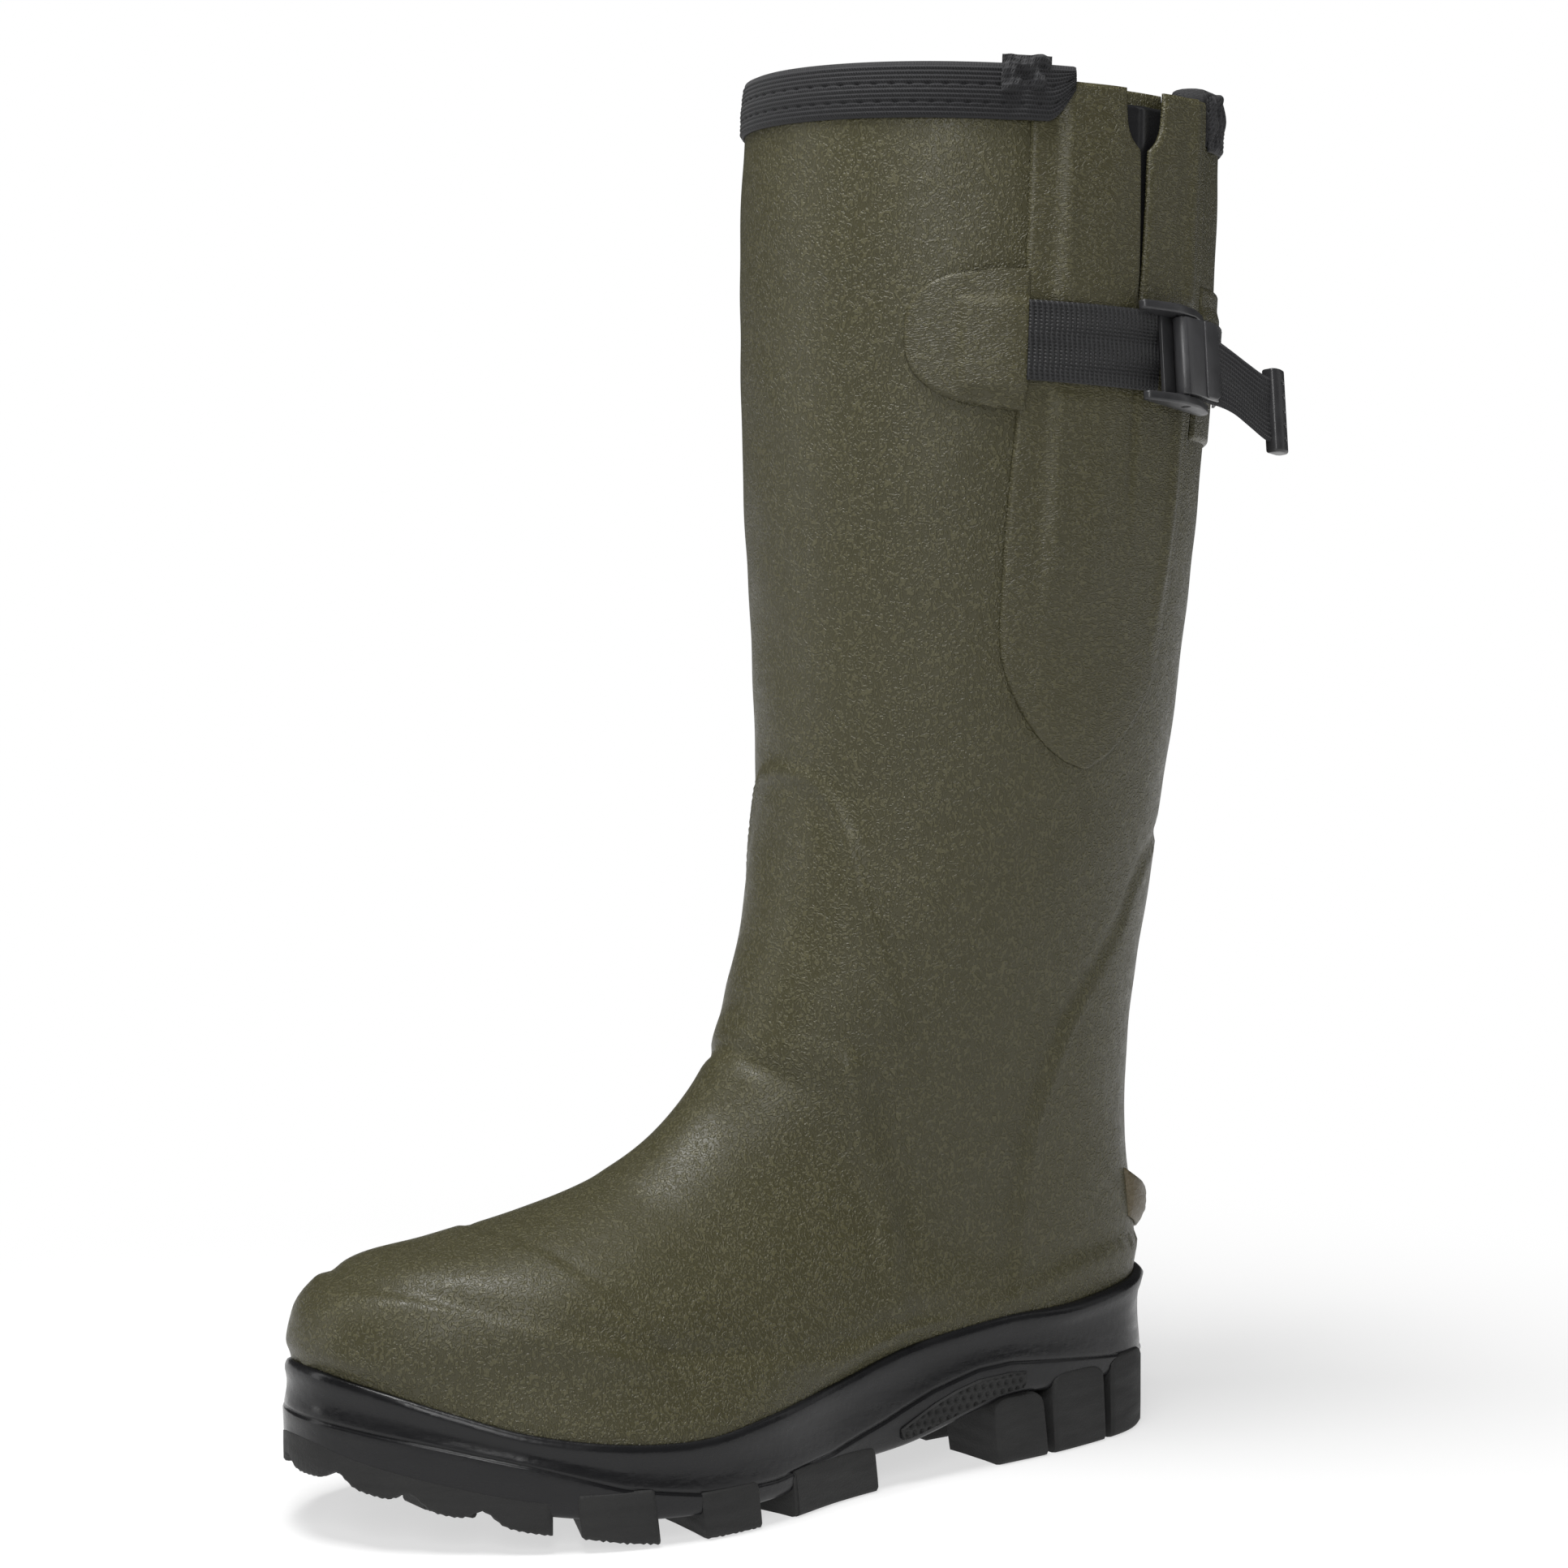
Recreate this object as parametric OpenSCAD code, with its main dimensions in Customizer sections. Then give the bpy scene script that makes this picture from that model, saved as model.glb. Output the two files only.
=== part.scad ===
// Insulated hunting boot, left foot. Millimetres, +Z up, toe towards -Y,
// lateral (outer) side towards +X, origin on the ground under the middle of the boot.
// Every skin, patch and lining follows one surface, skin(station, angle, offset):
// station runs from the shaft's mouth (0) round the ankle to the toe tip (16),
// angle runs from the front (0) over the lateral side (90) to the back or sole (180).

/* [Upper] */
// Wall of the rubber upper
upper_t = 2.2; // [1.6:0.1:2.6]
// Thickness of the neoprene lining
lining_t = 3; // [2:0.5:3.5]
// Thickness of the overlays on the upper
overlay_t = 1; // [0.6:0.1:1.1]
// Height of the elastic binding at the mouth
binding_h = 17; // [12:1:22]

/* [Sole] */
// Thickness of the removable footbed
footbed_t = 4.5; // [3:0.5:6]
// Thickness of the steel shank
shank_t = 1.4; // [1:0.1:2]

/* [Strap] */
// Width of the webbing
web_w = 24; // [20:1:26]
// Thickness of the webbing
web_t = 1.5; // [1:0.1:1.8]
// Height of the strap's centre line above the ground
strap_z = 344; // [338:1:348]
// Diameter of the buckle's hinge pin
pin_d = 3; // [2.5:0.1:3.4]
// Angle of the lever from lying flat
lever_angle = 0; // [0:5:100]

/* [Hidden] */

olive = "#4f4d3a";
olive_light = "#5b5944";
black_rubber = "#1d1d1f";
lug_grey = "#2b2c2d";
webbing_black = "#222224";
plastic_black = "#18181a";

// Clearance between layers that lie on each other
gap = 0.6;
// Offsets of the layers from the outer face of the upper
stiffener_t = 0.9;
stiffener_out = -upper_t - gap;
stiffener_in = stiffener_out - stiffener_t;
lining_out = stiffener_in - gap;
lining_in = lining_out - lining_t;
footbed_out = lining_in - 1.2;
footbed_in = footbed_out - footbed_t;
overlay_in = gap;
overlay_out = gap + overlay_t;
patch_out = 3.8;
web_in = overlay_out + 0.4;
web_out = web_in + web_t;

// ---- the boot's shape ----
// front rail y, z; back rail y, z; half-width lateral, medial; share of the depth in
// front of the widest line; roundness in front, behind; middle line x
STATIONS = [
    [  12, 428,  170, 425, 65, 65, 0.50, 2.0, 2.0,   0],
    [   9, 384,  169, 379, 66, 66, 0.50, 2.0, 2.0,   0],
    [   9, 340,  166, 332, 65, 65, 0.50, 2.0, 2.0,   0],
    [  10, 295,  161, 283, 63, 63, 0.50, 2.0, 2.0,   0],
    [  12, 250,  155, 232, 59, 59, 0.50, 2.0, 2.0,   0],
    [  12, 210,  147, 180, 54, 54, 0.50, 2.0, 2.0,   0],
    [   8, 178,  139, 135, 49, 48, 0.51, 2.1, 2.1,   0],
    [   1, 152,  138,  92, 46, 44, 0.54, 2.1, 2.2,  -1],
    [  -9, 129,  143,  54, 43, 41, 0.58, 2.1, 2.4,  -2],
    [ -25, 110,  122,  30, 42, 40, 0.66, 2.1, 3.0,  -3],
    [ -48,  96,   55,  28, 45, 41, 0.72, 2.1, 3.4,  -3],
    [ -75,  88,    0,  26, 51, 45, 0.76, 2.2, 3.4,  -3],
    [-102,  82,  -55,  23, 51, 46, 0.76, 2.3, 3.2,  -5],
    [-123,  78, -100,  25, 40, 39, 0.72, 2.4, 3.0, -10],
    [-137,  71, -127,  30, 29, 28, 0.66, 2.3, 2.6, -12],
    [-144,  62, -140,  37, 17, 17, 0.58, 2.1, 2.3, -12],
    [-147,  53, -146,  45,  6,  6, 0.50, 2.0, 2.0, -12]
];
LAST = len(STATIONS) - 1;

// sole plan: y; lateral x; medial x; height of the rand's top edge; underside of the slab
SOLE = [
    [ 147,   2,  -4, 52, 12],
    [ 144,  15, -17, 52, 10],
    [ 137,  27, -28, 51,  9],
    [ 122,  36, -37, 50,  8],
    [  95,  41, -41, 49,  8],
    [  65,  43, -39, 46,  8],
    [  30,  43, -35, 42, 12],
    [   0,  47, -37, 36, 10],
    [ -30,  55, -44, 32,  7],
    [ -55,  57, -51, 29,  7],
    [ -80,  52, -54, 30,  8],
    [-104,  41, -53, 34, 11],
    [-122,  28, -49, 40, 15],
    [-135,  17, -41, 45, 19],
    [-143,   6, -32, 48, 22],
    [-148,  -6, -20, 50, 25]
];

function cubic(p0, p1, p2, p3, t) =
    (2 * p1 + (p2 - p0) * t + (2 * p0 - 5 * p1 + 4 * p2 - p3) * t * t
    + (3 * p1 - p0 - 3 * p2 + p3) * t * t * t) / 2;

// a smooth curve through the rows of a table, u counted in rows
function smooth_row(table, u) =
    let (n = len(table) - 1, i = min(max(floor(u), 0), n - 1),
         p1 = table[i], p2 = table[i + 1],
         p0 = i > 0 ? table[i - 1] : 2 * p1 - p2,
         p3 = i + 2 <= n ? table[i + 2] : 2 * p2 - p1)
    cubic(p0, p1, p2, p3, u - i);

// how far an offset also moves a point forward near the toe tip
function toe_share(u) = let (t = min(max((u - 12) / 4, 0), 1)) t * t * (3 - 2 * t);

// A point round a section has a plain angle, seen from the section's middle, and an even
// angle, which spaces points evenly round the oval. halves() gives the two half-sizes there.
function halves(s, a) = let (depth = norm([s[2] - s[0], s[3] - s[1]]))
    [cos(a) > 0 ? depth * s[6] : depth * (1 - s[6]), sin(a) > 0 ? s[4] : s[5]];
function even(u, a) =
    let (q = halves(smooth_row(STATIONS, u), a), t = atan2(sin(a) / q[1], cos(a) / q[0]))
    t + 360 * round((a - t) / 360);
function plain(u, t) =
    let (q = halves(smooth_row(STATIONS, u), t), a = atan2(sin(t) * q[1], cos(t) * q[0]))
    a + 360 * round((t - a) / 360);

// point of the boot's surface at a station and even angle, d outwards
function skin(u, t, d) =
    let (s = smooth_row(STATIONS, u),
         depth = norm([s[2] - s[0], s[3] - s[1]]),
         v = [(s[0] - s[2]) / depth, (s[1] - s[3]) / depth],
         q = halves(s, t), a = atan2(sin(t) * q[1], cos(t) * q[0]),
         n = cos(a) > 0 ? s[7] : s[8],
         r = 1 / pow(pow(abs(cos(a)) / (q[0] + d), n) + pow(abs(sin(a)) / (q[1] + d), n), 1 / n),
         along_v = r * cos(a) - depth * s[6],
         f = d * toe_share(u))
    [s[9] + r * sin(a),
     s[0] + v[0] * along_v - v[1] * f,
     s[1] + v[1] * along_v + v[0] * f];

// value from a table of [u, value] pairs, straight between them
function along(table, u) = lookup(u, table);

function steps(from, to, n) = [for (i = [0:n]) from + (to - from) * i / n];
function average(points, i = 0, total = [0, 0, 0]) =
    i == len(points) ? total / len(points) : average(points, i + 1, total + points[i]);
function two(a, b, c, d) = [[a, b, c], [a, c, d]];

// Faces between an outer and an inner grid of nu by na points; cell(i, k) says which
// cells are there, and each open edge gets a wall. A closed grid wraps round in k.
function grid_faces(nu, na, closed, cell) =
    let (cells = closed ? na : na - 1,
         o = function(i, k) i * na + k % na,
         n = function(i, k) (nu + i) * na + k % na,
         here = function(i, k) i < 0 || i > nu - 2 ? false
             : closed ? cell(i, (k + na) % na) : k < 0 || k > cells - 1 ? false : cell(i, k))
    [for (i = [0:nu - 2]) for (k = [0:cells - 1]) if (here(i, k)) each concat(
        two(o(i, k), o(i, k + 1), o(i + 1, k + 1), o(i + 1, k)),
        two(n(i, k), n(i + 1, k), n(i + 1, k + 1), n(i, k + 1)),
        here(i - 1, k) ? [] : two(o(i, k + 1), o(i, k), n(i, k), n(i, k + 1)),
        here(i + 1, k) || (closed && i == nu - 2) ? []
            : two(o(i + 1, k), o(i + 1, k + 1), n(i + 1, k + 1), n(i + 1, k)),
        here(i, k - 1) ? [] : two(o(i, k), o(i + 1, k), n(i + 1, k), n(i, k)),
        here(i, k + 1) ? [] : two(o(i + 1, k + 1), o(i, k + 1), n(i, k + 1), n(i + 1, k + 1))
    )];

// A patch that follows the boot: edges(u) gives its first and last plain angle at a
// station, and inner(u, a) and outer(u, a) its offsets.
module patch(stations, edges, inner, outer, na = 8) {
    nu = len(stations);
    layer = function(offset) [for (u = stations)
        let (e = edges(u), t0 = even(u, e[0]), t1 = even(u, e[1])) for (k = [0:na - 1])
            let (t = t0 + (t1 - t0) * k / (na - 1)) skin(u, t, offset(u, plain(u, t)))];
    polyhedron(concat(layer(outer), layer(inner)), grid_faces(nu, na, false, function(i, k) true));
}

// A closed-toed cup that follows the boot from the mouth, with a wall from d_in to d_out.
// absent(u, a) leaves cells out.
module cup(stations, d_out, d_in, na, absent, inner_end) {
    nu = len(stations);
    last = stations[nu - 1];
    step = 360 / na;
    outer = [for (u = stations) for (k = [0:na - 1]) skin(u, k * step, d_out)];
    inner = [for (u = stations) for (k = [0:na - 1])
        skin(min(u, inner_end + (u - last) * 0.2), k * step, d_in)];
    first_o = (nu - 1) * na;
    first_n = (2 * nu - 1) * na;
    tip_o = average([for (k = [0:na - 1]) outer[first_o + k]]);
    tip_n = average([for (k = [0:na - 1]) inner[first_o + k]]);
    caps = [for (k = [0:na - 1]) each [
        [first_o + k, first_o + (k + 1) % na, 2 * nu * na],
        [first_n + (k + 1) % na, first_n + k, 2 * nu * na + 1]]];
    cell = function(i, k) !absent((stations[i] + stations[i + 1]) / 2, (k + 0.5) * step);
    polyhedron(concat(outer, inner, [tip_o, tip_n]), concat(grid_faces(nu, na, true, cell), caps));
}

// A solid through a list of rings of equal length
module loft(rings) {
    nu = len(rings);
    na = len(rings[0]);
    o = function(i, k) i * na + k % na;
    polyhedron(
        concat([for (r = rings) each r], [average(rings[0]), average(rings[nu - 1])]),
        concat(
            [for (i = [0:nu - 2]) for (k = [0:na - 1])
                each two(o(i, k), o(i, k + 1), o(i + 1, k + 1), o(i + 1, k))],
            [for (k = [0:na - 1]) each [
                [o(0, k + 1), o(0, k), nu * na],
                [o(nu - 1, k), o(nu - 1, k + 1), nu * na + 1]]]));
}

forefoot_stations = concat(steps(9.75, 14.55, 8), [15, 15.5]);
upper_stations = concat(steps(0.1, 3, 4), steps(3.6, 7.2, 6), steps(7.5, 9.3, 9), forefoot_stations,
                        [15.9]);
upper_sides = 48;
// The shaft's slot under the gusset, in whole cells of the upper's grid
slot_angles = [82.5, 112.5];
slot_end = 3;

// The shape is drawn from the ankle's middle, and the origin is the middle of its box
middle = [4.1, 12];
module at_origin() translate([-middle[0], -middle[1], 0]) children();

// ---- sole ----
function rand_row(u) = smooth_row(SOLE, u);

// the sole's cross-section: top edge, side, tucked-in lower edge, on both sides
function sole_ring(u) =
    let (s = rand_row(u), x1 = s[1], x0 = s[2], top = s[3], low = s[4],
         e = min(3, (x1 - x0) / 5), b = 1.2)
    [[x0 + e * 0.6, s[0], top], [x1 - e * 0.6, s[0], top], [x1, s[0], top - 3],
     [x1 + b, s[0], (top + low) / 2 + 2], [x1 + b * 0.5, s[0], low + 3], [x1 - e, s[0], low],
     [x0 + e, s[0], low], [x0 - b * 0.5, s[0], low + 3], [x0 - b, s[0], (top + low) / 2 + 2],
     [x0, s[0], top - 3]];

sole_steps = steps(0, len(SOLE) - 1, 42);
module sole_body() loft([for (u = sole_steps) sole_ring(u)]);

// everything inside the foxing, so that the sole unit is a tub round the foot
module foot_void(d) {
    stations = [for (u = upper_stations) if (u > 5) u];
    loft(concat(
        [for (u = stations) [for (k = [0:upper_sides - 1]) skin(u, k * 360 / upper_sides, d)]]));
}

// half-round bead on the rand's top edge round the heel
bead_u = steps(1, 4, 5);
module heel_bead(side) {
    for (i = [0:len(bead_u) - 2]) hull() {
        for (u = [bead_u[i], bead_u[i + 1]]) {
            s = rand_row(u);
            translate([side > 0 ? s[1] - 0.6 : s[2] + 0.6, s[0], s[3] - 2]) sphere(r = 1.8, $fn = 8);
        }
    }
}

shank_len = [-12, 68];
core_len = [74, 122];
core_w = 40;
core_z = [14, 24];
shank_z = 22.6;

module sole_unit() {
    color(black_rubber) at_origin() difference() {
        union() {
            sole_body();
            heel_bead(1);
            heel_bead(-1);
        }
        foot_void(overlay_out + 0.8);
        translate([-9, shank_len[0] - 0.2, shank_z - 0.2]) cube([16, shank_len[1] - shank_len[0] + 0.4, 12]);
        translate([-core_w / 2 - 1.2, core_len[0] - 0.2, core_z[0] - 0.2])
            cube([core_w + 0.4, core_len[1] - core_len[0] + 0.4, 18]);
    }
}

// tread bottom: flat on the ground, rising towards the toe
function spring(y) = lookup(y, [[-148, 19], [-128, 12], [-105, 6], [-82, 1.5], [-70, 0], [150, 0]]);
// height of the slab's underside, and its edge's x, at a y
sole_rows = [for (i = [len(sole_steps) - 1:-1:0]) rand_row(sole_steps[i])];
slab_heights = [for (r = sole_rows) [r[0], r[4]]];
lateral_edge = [for (r = sole_rows) [r[0], r[1]]];
medial_edge = [for (r = sole_rows) [r[0], r[2]]];
function slab(y) = lookup(y, slab_heights);
function edge_x(y, side) = lookup(y, side > 0 ? lateral_edge : medial_edge);
function lowest_slab(y0, y1) = min([for (y = steps(y0, y1, 8)) slab(y)]) - 0.02;

// A lug between two y values, from an inner x to the sole's edge on one side
module flat_lug(y0, y1, inner, side, skew = 0) {
    out = function(y) edge_x(y, side) - side * 1.5;
    linear_extrude(lowest_slab(y0, y1)) polygon([
        [inner, y0 + skew], [out(y0), y0], [out((y0 + y1) / 2), (y0 + y1) / 2], [out(y1), y1],
        [inner, y1 + skew]]);
}

// A lug on the rising toe, whose top and bottom follow the slope
module toe_lug(y0, y1, x0, x1) {
    corner = function(y, x, up) [x, y, up ? slab(y) - 0.8 : spring(y)];
    polyhedron([
        corner(y0, x0[0], false), corner(y0, x0[1], false), corner(y1, x1[1], false),
        corner(y1, x1[0], false), corner(y0, x0[0], true), corner(y0, x0[1], true),
        corner(y1, x1[1], true), corner(y1, x1[0], true)],
        [[0, 1, 2], [0, 2, 3], [4, 6, 5], [4, 7, 6], [0, 5, 1], [0, 4, 5], [1, 6, 2], [1, 5, 6],
         [2, 7, 3], [2, 6, 7], [3, 4, 0], [3, 7, 4]]);
}

module forefoot_lugs() {
    color(lug_grey) at_origin() {
        // side lugs, lateral then medial
        flat_lug(-22, 10, 24, 1, 3);
        flat_lug(-57, -39, 24, 1, 3);
        flat_lug(-22, 10, -18, -1, 3);
        flat_lug(-57, -39, -22, -1, 3);
        // centre bars
        for (y = [-20, -46, -72])
            linear_extrude(lowest_slab(y, y + 15))
                polygon([[-14, y], [0, y + 5], [14, y], [14, y + 10], [0, y + 15], [-14, y + 10]]);
        // toe lugs
        for (ends = [[-92, -73], [-110, -98]]) {
            toe_lug(ends[0], ends[1], [16, edge_x(ends[0], 1) - 2], [18, edge_x(ends[1], 1) - 2]);
            toe_lug(ends[0], ends[1], [edge_x(ends[0], -1) + 2, -19], [edge_x(ends[1], -1) + 2, -18]);
        }
        toe_lug(-126, -115, [2, edge_x(-126, 1) - 2], [4, edge_x(-115, 1) - 2]);
        toe_lug(-126, -115, [edge_x(-126, -1) + 2, -20], [edge_x(-115, -1) + 2, -20]);
        toe_lug(-143, -131, [-30, 2], [-38, 12]);
        toe_lug(-124, -88, [-15, -3], [-11, 5]);
    }
}

module heel_lugs() {
    color(lug_grey) at_origin() {
        for (side = [1, -1]) {
            flat_lug(61, 78, side * 14, side, -3);
            flat_lug(88, 109, side * 14, side, -3);
            flat_lug(118, 132, side * 12, side, -3);
        }
        linear_extrude(lowest_slab(62, 82))
            polygon([[-8, 62], [8, 62], [8, 76], [0, 82], [-8, 76]]);
        linear_extrude(lowest_slab(84, 106))
            polygon([[-8, 90], [0, 84], [8, 90], [8, 106], [-8, 106]]);
        linear_extrude(lowest_slab(114, 140))
            polygon([[-8, 114], [8, 114], [10, 134], [14, 141], [-15, 141], [-10, 134]]);
    }
}

module steel_shank() {
    color("silver") at_origin() translate([0, 0, shank_z]) linear_extrude(shank_t)
        polygon([[-7, shank_len[0]], [5, shank_len[0]], [6.5, 0], [4.5, 30], [6.5, shank_len[1]],
                 [-8.5, shank_len[1]], [-6.5, 30], [-8.5, 0]]);
}

module heel_core() {
    color("dimgray") at_origin() translate([-1, 0, core_z[0]]) linear_extrude(core_z[1] - core_z[0])
        polygon([[-core_w / 2, core_len[0]], [core_w / 2, core_len[0]],
                 [core_w / 2, core_len[1] - 12], [core_w / 2 - 12, core_len[1]],
                 [12 - core_w / 2, core_len[1]], [-core_w / 2, core_len[1] - 12]]);
}

// angles of the foot's bottom edge, lateral side
board_edge = [[9, 150], [10, 138], [12, 136], [14.2, 140]];
module insole_board() {
    color("tan") at_origin() patch(steps(9, 14.2, 16),
        function(u) [along(board_edge, u), 360 - along(board_edge, u)],
        function(u, a) stiffener_in, function(u, a) stiffener_out, 10);
}

module footbed() {
    color("#3a3d40") at_origin() patch(steps(9, 14, 16),
        function(u) [along(board_edge, u) + 5, 355 - along(board_edge, u)],
        function(u, a) footbed_in, function(u, a) footbed_out, 10);
}

module lining_sock() {
    stations = concat(steps(0.15, 4, 4), steps(4.8, 7.2, 3), steps(7.5, 9.3, 7), steps(9.9, 14.1, 5),
                      [14.8, 15.2]);
    color("#2c2e30") at_origin()
        cup(stations, lining_out, lining_in, 26, function(u, a) false, 14.7);
}

module rubber_upper() {
    color(olive) at_origin() cup(upper_stations, 0, -upper_t, upper_sides,
        function(u, a) u < slot_end && a > slot_angles[0] && a < slot_angles[1], 15.6);
}

module toe_puff() {
    color("dimgray") at_origin() patch(steps(12.6, 15.1, 9),
        function(u) [-92, 92], function(u, a) stiffener_in, function(u, a) stiffener_out, 16);
}

module heel_counter() {
    color("dimgray") at_origin() patch(steps(7.2, 8.8, 7),
        function(u) [112, 248], function(u, a) stiffener_in, function(u, a) stiffener_out, 16);
}

// ---- overlays ----
// upper edge of the foxing as an angle, from the heel to the toe
fox_edge = [[7.8, 168], [8.1, 140], [8.6, 115], [9.1, 98], [10, 89], [11, 83], [11.7, 74], [12.5, 72],
            [13.5, 72], [15.6, 78]];
fox_steps = concat(steps(7.8, 8.5, 9), [8.7, 8.9, 9.1, 9.3], forefoot_stations);

module foxing() {
    color(olive) at_origin() patch(fox_steps, function(u) [along(fox_edge, u), 360 - along(fox_edge, u)],
        function(u, a) overlay_in, function(u, a) overlay_out, 25);
}

module toe_cap() {
    edge = function(u) along(fox_edge, u) - 1.5;
    color(olive_light) at_origin() patch(steps(11.72, 15.7, 13), function(u) [-edge(u), edge(u)],
        function(u, a) overlay_in, function(u, a) overlay_out, 15);
}

// half-width of the shin guard and vamp panel as an angle, down to the foxing
front_edge = [[4.85, 6], [4.92, 14], [5.1, 22], [5.6, 31], [6.3, 36], [6.9, 38], [7.4, 30], [7.8, 27],
              [8.3, 30], [9, 38], [9.4, 52], [9.75, 74], [10.1, 86], [11, 81.5], [11.68, 73]];
module front_panel() {
    stations = concat([4.85, 4.92, 5.1, 5.35, 5.6], steps(6, 9, 8), [9.4, 9.75, 10.1],
                      steps(10.6, 11.68, 3));
    color(olive_light) at_origin() patch(stations,
        function(u) [-along(front_edge, u), along(front_edge, u)],
        function(u, a) overlay_in, function(u, a) overlay_out, 21);
}

// front edge of the heel panel, and the wings that carry it down to the foxing
panel_edge = [[4.75, 166], [4.8, 152], [5, 139], [5.3, 131], [5.8, 121], [6.2, 112], [6.6, 102],
              [7, 96], [7.45, 90], [7.8, 88], [8.35, 84], [9.06, 84]];
panel_in = overlay_in + 0.25;
module heel_panel() {
    color(olive_light) at_origin() {
        patch(concat([4.75, 4.8, 5, 5.3, 5.8, 6.2], steps(6.6, 7.78, 7)),
            function(u) [along(panel_edge, u), 360 - along(panel_edge, u)],
            function(u, a) panel_in, function(u, a) overlay_out, 19);
        for (side = [1, -1])
            patch(concat(steps(7.8, 8.5, 8), [8.75, 9.06]),
                function(u) side > 0 ? [along(panel_edge, u), along(fox_edge, u) - 1.2]
                    : [361.2 - along(fox_edge, u), 360 - along(panel_edge, u)],
                function(u, a) panel_in, function(u, a) overlay_out, 7);
    }
}

module kick_spur() {
    color("#57503c") at_origin() patch(steps(7.4, 7.72, 3), function(u) [148, 212],
        function(u, a) overlay_out + gap,
        function(u, a) overlay_out + gap + 1 + 4.4 * cos((a - 180) * 2.4) * (u < 7.45 ? 0.45 : 1), 12);
}

// ---- gusset ----
// the U-shaped panel's front and back edge, from its top to its round bottom
gusset_front = [[0.1, 64], [2, 63.5], [3.3, 60], [3.8, 60.5], [4.1, 65], [4.35, 74], [4.5, 84], [4.56, 92]];
gusset_back = [[0.1, 125], [2, 124], [3.3, 121], [3.85, 119], [4.1, 114], [4.35, 105], [4.5, 98], [4.56, 94]];
gusset_steps = concat(steps(0.1, 3.7, 9), [3.9, 4.1, 4.25, 4.35, 4.44, 4.5]);
slit_angle = 98;
// half the opening between the flaps: a rounded notch at the mouth, then a fine slit
slit_half = [[0.1, 7], [0.35, 4.5], [0.55, 1.6], [0.8, 0.8], [1.6, 0.4], [2.5, 0.15], [4.5, 0.1]];

module gusset_front_flap() {
    color(olive) at_origin() patch(gusset_steps,
        function(u) [along(gusset_front, u), min(slit_angle, along(gusset_back, u)) - along(slit_half, u)],
        function(u, a) overlay_in, function(u, a) overlay_out, 9);
}

module gusset_rear_flap() {
    color(olive) at_origin() patch([for (u = gusset_steps) if (u < 4.5) u],
        function(u) [slit_angle + along(slit_half, u), along(gusset_back, u)],
        function(u, a) overlay_in, function(u, a) overlay_out, 9);
}

// the pleat behind the slit, its middle folded inwards
module gusset_bellows() {
    fold = function(a) 1.1 * abs(a - slit_angle) / 15 - 2;
    color(black_rubber) at_origin() patch(steps(0.1, 2.9, 8), function(u) [83, 112],
        function(u, a) fold(a) - 0.9, function(u, a) fold(a), 11);
}

// ---- binding at the mouth ----
binding_ends = [127, 432];
binding_low = binding_h / 45;
module top_binding() {
    // channel section round the rim: station and offset, outside leg, roof, inside leg
    inside = lining_in - 0.7;
    section = [[binding_low, 0.5], [binding_low, 2], [0.0, 2.2], [-0.05, 0.6],
               [-0.05, inside + 0.4], [0.0, inside - 1.2], [binding_low, inside - 1.2],
               [binding_low, inside], [0.06, inside], [0.06, 0.5]];
    // the front end laps over the gusset flap
    lap = function(a) overlay_out * min(max((a - 417) / 5, 0), 1);
    n = 36;
    color(webbing_black) at_origin() loft([for (a = steps(binding_ends[0], binding_ends[1], n))
        [for (q = section) skin(q[0], even(0, a), q[1] > 0.4 ? q[1] + lap(a) : q[1])]]);
}

module binding_front_end() {
    color(webbing_black) at_origin() patch(steps(-0.02, 0.36, 4), function(u) [58, 68],
        function(u, a) 4.1, function(u, a) 5 + 1.2 * sin((a - 58) * 18), 6);
}

module binding_rear_end() {
    color(webbing_black) at_origin() patch(steps(0.02, 0.36, 4), function(u) [128, 138],
        function(u, a) 2.4, function(u, a) 3.4 + 1 * sin((a - 128) * 18), 6);
}

// ---- strap ----
function station_at(z) = lookup(-z, [for (i = [0:5])
    [-(STATIONS[i][1] + STATIONS[i][3]) / 2, i]]);
strap_u = [station_at(strap_z + web_w / 2), station_at(strap_z - web_w / 2)];
patch_u = [station_at(strap_z + 22), station_at(strap_z - 22)];

// half-round patch: its front edge is an arc
module front_anchor_patch() {
    mid = (patch_u[0] + patch_u[1]) / 2;
    half = (patch_u[1] - patch_u[0]) / 2;
    color(olive_light) at_origin() patch(steps(patch_u[0] + 0.02, patch_u[1] - 0.02, 12),
        function(u) [62 - 27 * sqrt(max(0.03, 1 - pow((u - mid) / half, 2))), 63],
        function(u, a) overlay_in, function(u, a) a > 44 ? patch_out : overlay_out + 0.5, 9);
}

module rear_anchor_patch() {
    color(olive_light) at_origin() patch(steps(patch_u[0], patch_u[1] + 0.06, 6), function(u) [127, 158],
        function(u, a) overlay_in, function(u, a) overlay_out + 0.2, 7);
}

module web_band(from, to, n) {
    patch(steps(strap_u[0], strap_u[1], 3), function(u) [from, to],
        function(u, a) web_in, function(u, a) web_out, n);
}

module front_webbing() {
    color(webbing_black) at_origin() web_band(63.5, 95, 12);
}

// The buckle's own frame: x outwards, y towards the back, z up, from a point on the shaft
// It hangs a little: its face looks slightly up and its rear end is lower
buckle_angle = 106;
buckle_turn = 18;
buckle_tilt = 8;
buckle_roll = 7;
buckle_at = skin(station_at(strap_z), even(2, buckle_angle), web_out + 1.9) - [0, 0, 2];
module at_buckle()
    translate(buckle_at) rotate([0, 0, buckle_turn]) rotate([0, -buckle_tilt, 0]) rotate([-buckle_roll, 0, 0])
        children();

buckle_len = 33;
rail_h = 3;
rail_depth = 7;
window = web_w + 1;
pin_x = 4.6;
pin_y = 1;
pin_fit = 0.06;

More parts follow.
